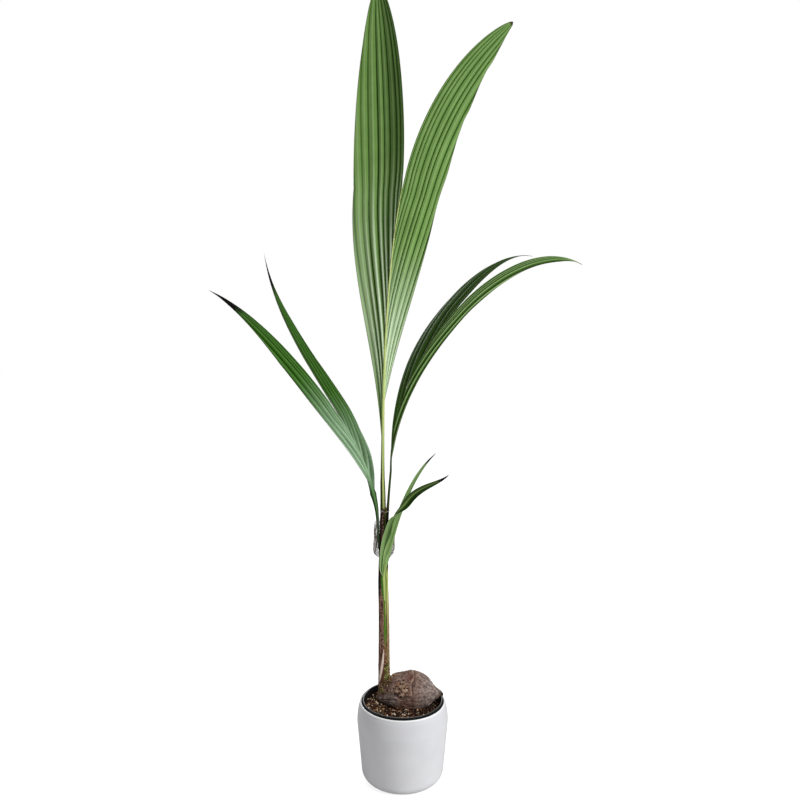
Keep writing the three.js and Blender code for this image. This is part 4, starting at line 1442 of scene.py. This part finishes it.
RIGHT_LEAF = {
    "base": (-27, 38, 718), "heading": 27, "parted": 405,
    "growth": dict(lean=-0.7, arch=113, curl=-98, sweep=0, veer=0, length=810),
    "petiole": [(-34.4, 36, 0), (-31.8, 36.6, 40), (-27, 38, 96)],
    "petiole_radius": (3.3, 2.4), "rib_radius": 1.1, "flatness": 1.0, "widening": 1.0,
    "halves": {
        "blade_right_near": half(
            side=-1, length=803, width=44, widest=0.8, powers=(0.86, 0.42), roll=20, rise=30.5,
            droop=70.5, swing=-6, veins=5.5, deep=1.4, bloom=(1.3, 1.6, 0.0),
            veil=(0.0, 0.0, 1.0), dry=(0.99, 1.0), pale=(0.94, 1.0)),
        "blade_right_far": half(
            side=1, length=695, width=77, widest=0.63, powers=(1.8, 1.0), rise=3, droop=61.5,
            swing=6, veins=4.5, deep=0.8, shade=(0.45, 1.2)),
    },
}
SMALL_LEAF = {
    "base": (-44, 20, 468), "heading": -33, "parted": 172,
    "growth": dict(lean=5.5, arch=26.4, curl=41.3, sweep=0, veer=0, length=340),
    "petiole": [(-42.4, 28, -222), (-42.4, 24.4, -204), (-42.9, 21.6, -180), (-44, 20, -154)],
    "petiole_radius": (3.6, 7.4), "rib_radius": 0.8, "flatness": 0.3, "widening": 1.0,
    "halves": {
        "blade_small_near": half(
            side=-1, length=346, width=24, widest=0.3, powers=(0.45, 0.78), rise=54.6,
            droop=-75.5, swing=-5, turn_over=(100, 0.42, 0.62), opened=(-12, 20), keel=0.56,
            veins=1.6, deep=1.2, dry=(0.86, 0.97)),
        "blade_small_far": half(
            side=1, length=341, width=16, widest=0.34, powers=(0.6, 0.6), roll=-24, rise=-22.5,
            droop=2, swing=4, veins=2.5, dry=(0.84, 0.97)),
    },
}
LEAVES = {"tall": TALL_LEAF, "left": LEFT_LEAF, "right": RIGHT_LEAF, "small": SMALL_LEAF}
print("half blades:", sum(len(one["halves"]) for one in LEAVES.values()))


# %% Growth law
def unit(vectors):
    return vectors / np.linalg.norm(vectors, axis=-1, keepdims=True)


def headings(one):
    turn = math.radians(one["heading"])
    out = np.array([math.cos(turn), math.sin(turn), 0])
    return out, np.array([-math.sin(turn), math.cos(turn), 0])


def direction(one, part, distance):
    """Which way a half's line grows, at each distance along it."""
    g = one["growth"]
    t = distance / g["length"]
    x = np.maximum((distance - one["parted"]) / (part["length"] - one["parted"]), 0)
    pitch = g["lean"] + g["arch"] * t + g["curl"] * t ** 3 + part["rise"] * x + part["droop"] * x ** 3
    yaw = g["sweep"] * t + g["veer"] * t ** 3 + part["swing"] * np.sqrt(x) + part["hook"] * x ** 3
    pitch, yaw = np.radians(pitch)[:, None], np.radians(yaw)[:, None]
    out, sideways = headings(one)
    rising = out * np.sin(pitch) + np.array([0, 0, 1]) * np.cos(pitch)
    return rising * np.cos(yaw) + sideways * np.sin(yaw)


def grow_line(one, part, steps=300):
    step = part["length"] / steps
    middles = (np.arange(steps) + 0.5) * step
    walk = np.cumsum(direction(one, part, middles) * step, 0)
    return np.concatenate([[(0, 0, 0)], walk]) + np.array(one["base"], float)


def place_on(line, length, distance):
    place = np.clip(distance / length, 0, 1) * (len(line) - 1)
    index = np.minimum(place.astype(int), len(line) - 2)
    t = (place - index)[:, None]
    return line[index] * (1 - t) + line[index + 1] * t


def rib_radius(one, distance):
    t = np.minimum(np.asarray(distance, float) / one["parted"], 1)
    return lerp(one["petiole_radius"][1], one["rib_radius"], t ** 0.5)


TWIST_REACH = 160          # how far up a twist at the base has faded out


def blade_frame(one, part, distance):
    """Which way a half spreads from its line, and which way its upper face looks."""
    along = unit(direction(one, part, distance))
    sideways = headings(one)[1]
    across = unit(sideways - along * (along @ sideways)[:, None])
    face = np.cross(along, across)
    roll = part["roll"] + part["twist"] * (1 - smoothstep(distance, 0, TWIST_REACH))
    if part["turn_over"]:
        amount, start, end = part["turn_over"]
        roll += amount * smoothstep(distance / part["length"], start, end)
    roll = np.radians(roll)[:, None]
    spread = (across * np.cos(roll) + face * np.sin(roll)) * part["side"]
    return spread, face * np.cos(roll) - across * np.sin(roll)


def margins(part, distance):
    """How far the inner and the outer margin lie from the line."""
    s = np.maximum((distance - part["start"]) / (part["length"] - part["start"]), 0)
    low_power, tip_power = part["powers"]
    rising = np.sin(np.pi / 2 * np.clip(s / part["widest"], 0, 1)) ** low_power
    past = np.clip((s - part["widest"]) / (1 - part["widest"]), 0, 1)
    width = part["width"] * np.where(s < part["widest"], rising, np.cos(np.pi / 2 * past) ** tip_power)
    inner = np.where(s < part["widest"], 0, part["share"] * (part["width"] - width))
    return inner, inner + width


tall_tip = grow_line(TALL_LEAF, TALL_LEAF["halves"]["blade_tall_left"])[-1]
print("tip of the tallest leaf in mm:", np.round(tall_tip), " top of the box:", cad_box[1].z / MM)

# %% [markdown]
# ## Pleated blades
#
# The young leaf comes out folded like a fan, and the folds stay. Each fold follows a vein. A
# vein leaves the rib, runs almost along it, and ends at the outer margin further up, so there
# are most folds where the blade is widest and few at either end.
#
# So the fold is a rule, and Geometry Nodes can apply it. Python makes only the smooth sheet and
# gives each point its vein number, counted across the blade. The tree lifts the sheet where
# that number is whole and lowers it half way between, adds a shallow second fold three times as
# narrow, and gives the blade an upper and a lower face that meet at the margin.

# %% Smooth sheet of a half blade
CROWDING = 0.74            # below 1, the veins crowd towards the rib
FOLD_DEPTH = 0.115         # as a share of the distance between two veins


def blade_masks(one, part, distance, along, across):
    """The numbers that the leaf's finish colours by. along and across are whole grids."""
    pale = smoothstep(along, *part["pale"]) if part["pale"] else 0 * along
    # Painted sheen: pale on the fold crests towards the base, and for some halves laid evenly over the
    # base.
    most, bloom_end, bloom_start = part["bloom"]
    bloom = most * (1 - smoothstep(along, 0.25 * bloom_end, bloom_end))
    if bloom_start:
        bloom = bloom * smoothstep(along, 0.3 * bloom_start, bloom_start)
    most_veil, veil_start, veil_full = part["veil"]
    veil = most_veil * bloom * smoothstep(across, veil_start, veil_full)
    # Painted shade beside the rib and over the lowest third of the blade.
    shade = part["shade"][0] * (1 - smoothstep(across, 0.0, part["shade"][1]))
    shade *= smoothstep(distance / one["parted"], 0.25, 0.8)[:, None]
    gloom = part["gloom"] * (1 - smoothstep(along, 0.12, 0.36)) * (1 - 0.8 * across)
    # In the finish the keel's mask paints shade in its groove and a highlight beside it.
    keel = 0 * along
    if part["keel"]:
        keel = bell(across, part["keel"], 0.07) - bell(across, part["keel"] - 0.15, 0.08)
    return {"dry": smoothstep(along, *part["dry"]), "pale": pale, "veil": veil, "keel": keel,
            "bloom": bloom * (1 - part["plain"] * smoothstep(across, 0.4, 0.9)),
            "shade": np.maximum(shade, gloom)}


def half_sheet(name, one, part, rows, columns):
    """A half blade before it is pleated, with its vein numbers and its fold depth."""
    first = max(part["start"], 0.012 * part["length"])
    s = 1 - (1 - np.linspace(0, 1, rows)) ** 1.35
    distance = lerp(first, part["length"], s)
    line = place_on(grow_line(one, part), part["length"], distance)
    spread, face = blade_frame(one, part, distance)
    inner, outer = margins(part, distance)

    veins = part["veins"]
    left_rib = np.minimum(distance / one["parted"], 1) ** 1.15
    share = (distance - first) / (part["length"] - first)
    reached = part["ended"] * share ** 2.6
    step = (veins * reached) % 1
    notch = part["notch"] * outer * smoothstep(step, 0, 0.75) * (1 - smoothstep(step, 0.75, 1))
    beside = inner + 0.5 * rib_radius(one, distance) * (distance < one["parted"] + 40)
    opening = smoothstep(distance - first, *part["opened"])
    margin = np.maximum(lerp(beside, outer, opening), beside + 0.25)

    u = np.concatenate([[0, 0.008], np.linspace(0.025, 0.975, columns - 4), [0.992, 1]])
    across = np.repeat(u[None], rows, 0)
    along = np.repeat(share[:, None], columns, 1)
    width = (margin - beside)[:, None]
    reach = beside[:, None] + width * u - notch[:, None] * smoothstep(u, 0.86, 1)
    lift = part["bulge"] * width * np.sin(np.pi * u)
    if part["keel"]:
        lift -= 0.16 * width * np.exp(-np.abs(u - part["keel"]) / 0.2)
    points = line[:, None] + spread[:, None] * reach[..., None] + face[:, None] * lift[..., None]

    spaced = u ** CROWDING
    vein = veins * (left_rib[:, None] * (1 - spaced) + reached[:, None] * spaced)
    vein = vein + 0.13 * np.sin(2.3 * vein + part["veins"])
    pitch = width / np.maximum(veins * (left_rib - reached), 0.9)[:, None]
    pitch = pitch / (CROWDING * np.maximum(u, 0.02) ** (CROWDING - 1))
    young = 1 + 0.9 * (1 - smoothstep(distance, 0.4 * one["parted"], 1.2 * one["parted"]))
    uneven = 0.8 + 0.35 * np.sin(1.7 * vein + part["length"])
    relief = 1 - part["plain"] * smoothstep(u, 0.45, 0.8) * smoothstep(along, 0.02, 0.12)
    depth = FOLD_DEPTH * part["deep"] * pitch * young[:, None] * uneven * (1 - 0.3 * u) * relief
    ends = np.minimum(distance - distance[0], distance[-1] - distance)[:, None]
    rim = np.minimum(width * np.minimum(u, 1 - u), ends)

    faces = grid_faces(rows, columns)
    middle = points[rows // 2, columns // 2]
    step_u = points[rows // 2, columns // 2 + 1] - middle
    step_v = points[rows // 2 + 1, columns // 2] - middle
    if np.cross(step_u, step_v) @ face[rows // 2] < 0:
        faces = [quad[::-1] for quad in faces]
    grids = {"vein": vein, "depth": depth * MM, "rim": rim * MM, "along": along, "relief": relief,
             **blade_masks(one, part, distance, along, across)}
    return new_piece(name, points.reshape(-1, 3) * MM, faces,
                     **{key: np.ravel(values) for key, values in grids.items()})


# %% Pleating tree
def pleat_tree():
    """Folds a sheet along its veins and gives it thickness."""
    inputs = {
        "Geometry": ("Geometry", None), "Fold Depth": ("Float", 1.0), "Crispness": ("Float", 0.7),
        "Second Fold": ("Float", 0.22), "Thickness": ("Float", 0.0005),
        "Ripple": ("Float", 0.0008), "Ripple Scale": ("Float", 16.0),
        "Material": ("Material", None),
    }
    tree, inlet, outlet = new_tree(
        "Pleated blade", "GeometryNodeTree", inputs, {"Geometry": ("Geometry", None)}
    )
    named = {name: add(tree, "GeometryNodeInputNamedAttribute", {"Name": name}).outputs[0]
             for name in ("vein", "depth", "rim")}
    wave = calculate(tree, "COSINE", times(tree, named["vein"], 2 * math.pi))
    between = calculate(tree, "FRACT", named["vein"])
    folded = calculate(tree, "ABSOLUTE", calculate(tree, "MULTIPLY_ADD", between, 2.0, -1.0))
    narrow = calculate(tree, "POWER", calculate(tree, "SUBTRACT", 1.0, folded), 3.0)
    crease = calculate(tree, "MULTIPLY_ADD", narrow, -2.0, 1.0)
    main_fold = add(tree, "ShaderNodeMix", {0: inlet["Crispness"], 2: wave, 3: crease}).outputs[0]
    thirds = calculate(tree, "COSINE", times(tree, named["vein"], 6 * math.pi))
    fold = calculate(tree, "MULTIPLY_ADD", thirds, inlet["Second Fold"], main_fold)
    marked = add(tree, "GeometryNodeStoreNamedAttribute", {
        "Geometry": inlet["Geometry"], "Name": "fold", "Value": fold},
        data_type="FLOAT", domain="POINT")
    normal = add(tree, "GeometryNodeInputNormal").outputs[0]
    place = add(tree, "GeometryNodeInputPosition").outputs[0]
    ripple = noise_value(tree, place, inlet["Ripple Scale"], 1.0)
    sway = times(tree, calculate(tree, "SUBTRACT", ripple, 0.5), inlet["Ripple"])
    lift = times(tree, fold, named["depth"])
    rise = calculate(tree, "MULTIPLY_ADD", lift, inlet["Fold Depth"], sway)
    pleated = add(tree, "GeometryNodeSetPosition", {
        "Geometry": marked.outputs[0], "Offset": scaled(tree, normal, rise)})
    solid = calculate(tree, "MINIMUM", inlet["Thickness"], named["rim"])
    upper, lower = (add(tree, "GeometryNodeSetPosition", {
        "Geometry": pleated.outputs[0],
        "Offset": scaled(tree, normal, times(tree, solid, share))}) for share in (0.5, -0.5))
    under = add(tree, "GeometryNodeStoreNamedAttribute", {
        "Geometry": lower.outputs[0], "Name": "under", "Value": 1.0},
        data_type="FLOAT", domain="POINT")
    turned_over = add(tree, "GeometryNodeFlipFaces", {"Mesh": under.outputs[0]})
    both = tree.nodes.new("GeometryNodeJoinGeometry")
    tree.links.new(turned_over.outputs[0], both.inputs[0])
    tree.links.new(upper.outputs[0], both.inputs[0])
    sewn = add(tree, "GeometryNodeMergeByDistance", {
        "Geometry": both.outputs[0], "Distance": 0.00001})
    end_smooth(tree, inlet, outlet, sewn.outputs[0])
    return tree


PLEATS = pleat_tree()
print("trees:", [tree.name for tree in bpy.data.node_groups if tree.bl_idname.startswith("Geo")])

# %% [markdown]
# ## Leaf green
#
# A palm leaf is painted lighter along its ridges and darker in its folds, as light and shade on
# its pleats, with fine veins between, and a painted sheen pales the ridges towards its base. Old
# margins dry to brown, and tips die back to black. The lower face is paler and duller. The
# colours differ between the leaves of one plant, so each leaf has its own finish made by the
# same function, and two groups hold what they share.

# %% Veins and withering
def veins_group():
    inputs = {"Vein": ("Float", 0.0), "Along": ("Float", 0.0), "Fold": ("Float", 0.0)}
    outputs = {"Ridge": ("Float", None), "Crease": ("Float", None), "Fine": ("Float", None),
               "Crest Highlight": ("Float", None), "Sheen Line": ("Float", None),
               "Cloud": ("Float", None)}
    tree, inlet, outlet = new_tree("Leaf veins", "ShaderNodeTree", inputs, outputs)
    across_lines = add(tree, "ShaderNodeCombineXYZ", {
        0: times(tree, inlet["Vein"], 5.0), 1: times(tree, inlet["Along"], 2.5)}).outputs[0]
    fine = noise_value(tree, across_lines, 1.3, 3.0, 0.55)
    broad_place = add(tree, "ShaderNodeCombineXYZ", {
        0: times(tree, inlet["Vein"], 0.8), 1: times(tree, inlet["Along"], 9.0)}).outputs[0]
    cloud = noise_value(tree, broad_place, 1.0, 3.0)
    waver = calculate(tree, "MULTIPLY_ADD", calculate(tree, "SUBTRACT", fine, 0.5), 0.5,
                      inlet["Fold"])
    # Ridge and Crease are masks for painted light on the ridges and painted shade in the folds.
    tree.links.new(remap(tree, waver, -0.8, 0.5), outlet["Ridge"])
    tree.links.new(remap(tree, waver, -0.35, -1.0), outlet["Crease"])
    # The crests of the folds, for a painted highlight.
    tree.links.new(remap(tree, waver, 0.75, 1.25), outlet["Crest Highlight"])
    # Thin lines on the crests, for a painted sheen.
    top = calculate(tree, "COSINE", times(tree, inlet["Vein"], 2 * math.pi))
    thin = calculate(tree, "MULTIPLY_ADD", calculate(tree, "SUBTRACT", fine, 0.5), 0.8, top)
    tree.links.new(remap(tree, thin, 0.0, 0.85), outlet["Sheen Line"])
    tree.links.new(remap(tree, fine, 0.3, 0.7), outlet["Fine"])
    tree.links.new(remap(tree, cloud, 0.3, 0.7), outlet["Cloud"])
    return tree


def wither_group():
    inputs = {"Place": ("Vector", None), "Rim": ("Float", 0.0), "Margin": ("Float", 0.0012),
              "Dry": ("Float", 0.0)}
    outputs = {"Brown": ("Float", None), "Dead": ("Float", None)}
    tree, inlet, outlet = new_tree("Withering", "ShaderNodeTree", inputs, outputs)
    ragged = noise_value(tree, inlet["Place"], 45.0, 3.0, 0.6)
    reach = times(tree, inlet["Margin"], times(tree, ragged, 2.0))
    brown = calculate(tree, "LESS_THAN", inlet["Rim"], reach)
    tree.links.new(brown, outlet["Brown"])
    dead = calculate(tree, "ADD", inlet["Dry"],
                     times(tree, calculate(tree, "SUBTRACT", ragged, 0.5), 0.8))
    tree.links.new(remap(tree, dead, 0.15, 0.65), outlet["Dead"])
    return tree


VEINS = veins_group()
WITHER = wither_group()


# %% Leaf finish
def leaf_finish(name, ridge, crease, bloom, under, margin="#4f4632", tip="#0a0805",
                margin_width=0.0009, contrast=0.9, roughness=0.5):
    material, tree, shader = new_finish(name, roughness, specular_ior_level=0.06)
    along = attribute(tree, "along")
    veins = effect(tree, VEINS, vein=attribute(tree, "vein"), along=along,
                   fold=attribute(tree, "fold"))
    place = object_place(tree)
    wither = effect(tree, WITHER, place=place, rim=attribute(tree, "rim"), margin=margin_width,
                    dry=attribute(tree, "dry"))
    # Painted light and shade on the pleats: the ridges take the lighter colour and the folds the
    # darker one.
    ridge_mask = veins.outputs["Ridge"]
    relief = attribute(tree, "relief")
    flatter = remap(tree, relief, 0.4, 1.0, 0.45, 0.0)
    lit = calculate(tree, "MAXIMUM", ridge_mask, flatter)
    body = mix_colours(tree, lit, paint(crease), paint(ridge))
    body = tinted(tree, body, crease, remap(tree, along, 0.35, 1.0, 0.0, 0.35))
    # A painted highlight along the crests of the folds.
    crest_highlight = mix_colours(tree, 0.3, paint(ridge), paint(bloom))
    body = tinted(tree, body, crest_highlight, veins.outputs["Crest Highlight"], 0.7)
    darker = mix_colours(tree, 0.6, body, paint(crease))
    body = tinted(tree, body, darker, veins.outputs["Fine"], 0.4)
    body = tinted(tree, body, darker, patches(tree, place, 22.0, 0.35, 0.65), 0.3)
    # Painted shade: the fold lines and the band beside the rib are darkened.
    deep = mix_colours(tree, 0.6, paint(crease), paint("#0a1a02"))
    strength = times(tree, relief, contrast)
    body = tinted(tree, body, deep, veins.outputs["Crease"], strength)
    body = tinted(tree, body, deep, attribute(tree, "shade"))
    # Painted sheen: pale lines on the crests and an even pale wash towards the base.
    clouded = remap(tree, veins.outputs["Cloud"], 0, 1, 0.55, 1.0)
    on_crest = times(tree, attribute(tree, "bloom"), veins.outputs["Sheen Line"])
    blooming = calculate(tree, "MAXIMUM", on_crest, attribute(tree, "veil"))
    body = tinted(tree, body, bloom, blooming, clouded)

    # The lower face gets the same painted light and shade on its ridges and folds.
    under_ridge = mix_colours(tree, 0.15, paint(under), paint(ridge))
    lower_face = tinted(tree, paint(under), under_ridge, ridge_mask, 0.6)
    lower_face = tinted(tree, lower_face, crease, veins.outputs["Crease"], contrast * 0.8)
    under_line = mix_colours(tree, 0.5, lower_face, paint(crease))
    lower_face = tinted(tree, lower_face, under_line, veins.outputs["Fine"], 0.35)
    body = tinted(tree, body, lower_face, attribute(tree, "under"))

    # Painted shade in the keel's groove and a painted highlight beside it.
    keel = attribute(tree, "keel")
    body = tinted(tree, body, crease, remap(tree, keel, 0, 1, 0, 0.85))
    body = tinted(tree, body, bloom, remap(tree, keel, 0, -1, 0, 0.6))
    body = tinted(tree, body, "#b9bda5", attribute(tree, "pale"), 0.8)
    body = tinted(tree, body, margin, wither.outputs["Brown"], 0.8)
    body = tinted(tree, body, tip, wither.outputs["Dead"])
    gloss = remap(tree, veins.outputs["Fine"], 0, 1, roughness - 0.06, roughness + 0.08)
    tree.links.new(gloss, shader.inputs["Roughness"])
    dress(tree, shader, body, veins.outputs["Cloud"], 0.2, 0.0005)
    return material


LEAF_FINISHES = {
    "tall": leaf_finish("tall_leaf_green", "#92bb66", "#38621e", "#dff3d0", "#8fae68",
                        tip="#3b331a"),
    "left": leaf_finish("left_leaf_green", "#3f7416", "#152f08", "#b4d2b2", "#5f8844",
                        margin="#6a625c"),
    "right": leaf_finish("right_leaf_green", "#4b7426", "#17280a", "#93b473", "#56753a",
                         margin="#54473a"),
    "small": leaf_finish("small_leaf_green", "#446428", "#294a14", "#a9c878", "#8aab6a",
                         margin="#bccca4", margin_width=0.0006, contrast=0.5),
}
print("leaf finishes:", [finish.name for finish in LEAF_FINISHES.values()])

# %% Half blades
BLADE_GRID = {"tall": (170, 140), "left": (130, 96), "right": (150, 96), "small": (90, 48)}
SECOND_FOLD = {"tall": 0.2, "left": 0.12, "right": 0.05, "small": 0.1}


def stands_for(name):
    return [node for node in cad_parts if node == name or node.startswith(name + "_")]


for leaf_name, one in LEAVES.items():
    for name, part in one["halves"].items():
        blade = half_sheet("pleated_" + name, one, part, *BLADE_GRID[leaf_name])
        apply_tree(blade, PLEATS, {"Material": LEAF_FINISHES[leaf_name],
                                   "Second Fold": SECOND_FOLD[leaf_name]})
        keep(blade, "leaf_green", *stands_for(name))

# %% [markdown]
# ## Petioles and ribs
#
# The petiole carries the leaf and goes on as its rib up to where the blade is parted. It is
# round at the back and slightly grooved in front, and where it comes out low on the stem it
# starts as a flat strip. On the tall leaf it is the lightest line of the whole plant,
# yellow-green on its lit side and dark on the other, so its colour goes by the side and is
# painted from an angle that each point carries.

# %% Petioles
def limb_body(name, centres, radii, flatness, sides=22):
    """A closed limb along its centres, with a shallow groove down its front."""
    before = centres[np.maximum(np.arange(len(centres)) - 1, 0)]
    after = centres[np.minimum(np.arange(len(centres)) + 1, len(centres) - 1)]
    along = unit(after - before)
    turns = np.linspace(0, 2 * np.pi, sides, endpoint=False)
    spoke = np.array([0.0, -1.0, 0.0])
    rings = []
    for centre, way, radius, flat in zip(centres, along, radii, flatness):
        spoke = unit(spoke - way * (spoke @ way))
        other = np.cross(way, spoke)
        groove = 1 - 0.2 * np.exp(-((np.angle(np.exp(1j * turns)) / 0.5) ** 2))
        out = (radius * groove)[:, None]
        fore = flat * np.cos(turns)[:, None] * spoke
        rings.append(centre + out * (fore + np.sin(turns)[:, None] * other))
    side = np.tile(np.sin(turns), (len(centres), 1))
    share = np.repeat(np.linspace(0, 1, len(centres))[:, None], sides, 1)
    grain = np.stack([np.tile(np.cos(turns), (len(centres), 1)), side, share * 3], 2)
    return closed_loft(name, np.array(rings) * MM, side=side, along=share, grain=grain)


STALK_RINGS = 29           # rings of the petiole below its blade
ROUND_BY = 50              # the ring by which a flat petiole has become round
RIB_RINGS = 110
RIB_END = 1.04             # where the rib ends, as a share of the way to the parting


def petiole_of(name, one):
    part = next(iter(one["halves"].values()))
    path = [(x, y, STEM_TOP_LEVEL + rise) for x, y, rise in one["petiole"]]
    stalk = through(path, STALK_RINGS + 1)[:-1]
    distance = np.linspace(0, one["parted"] * RIB_END, RIB_RINGS)
    rib = place_on(grow_line(one, part), part["length"], distance)
    grown = (np.arange(STALK_RINGS) / STALK_RINGS) ** one["widening"]
    ending = np.sqrt(np.clip((RIB_END - distance / one["parted"]) / 0.1, 0.02, 1))
    radii = np.concatenate([lerp(*one["petiole_radius"], grown),
                            rib_radius(one, distance) * ending])
    rounded = smoothstep(np.arange(len(radii)), STALK_RINGS, ROUND_BY)
    return limb_body("petiole_and_rib_" + name, np.concatenate([stalk, rib]), radii,
                     lerp(one["flatness"], 1, rounded))


def petiole_finish(name, lit, shaded, rib, roughness=0.4):
    material, tree, shader = new_finish(name, roughness, specular_ior_level=0.15)
    fibres = effect(tree, STREAKS, place=attribute(tree, "grain", "Vector"), scale=7.0,
                    contrast=0.5)
    wavering = calculate(tree, "MULTIPLY_ADD", fibres.outputs["Height"], 0.4,
                         attribute(tree, "side"))
    rising = remap(tree, wavering, -0.12, 0.12)
    falling = remap(tree, wavering, 0.95, 0.6)
    strip = times(tree, rising, falling)
    skin = mix_colours(tree, strip, paint(shaded), paint(lit))
    skin = tinted(tree, skin, rib, remap(tree, attribute(tree, "along"), 0.22, 0.4))
    streaked = mix_colours(tree, 0.5, skin, paint(shaded))
    skin = tinted(tree, skin, streaked, fibres.outputs["Streak"], 0.3)
    dress(tree, shader, skin, fibres.outputs["Height"], 0.25, 0.0003)
    return material


PETIOLE_FINISHES = {
    "tall": petiole_finish("tall_petiole", "#cfdb84", "#2c3f14", "#d3e38e"),
    "left": petiole_finish("left_petiole", "#6c9a58", "#2a4a1e", "#98bb92"),
    "right": petiole_finish("right_petiole", "#47602b", "#25371a", "#4f6f33"),
    "small": petiole_finish("small_petiole", "#cfdc86", "#4f7f2a", "#8fae66"),
}
for leaf_name, one in LEAVES.items():
    petiole = petiole_of(leaf_name, one)
    keep(petiole, "petiole_green", "petiole_" + leaf_name, material=PETIOLE_FINISHES[leaf_name])
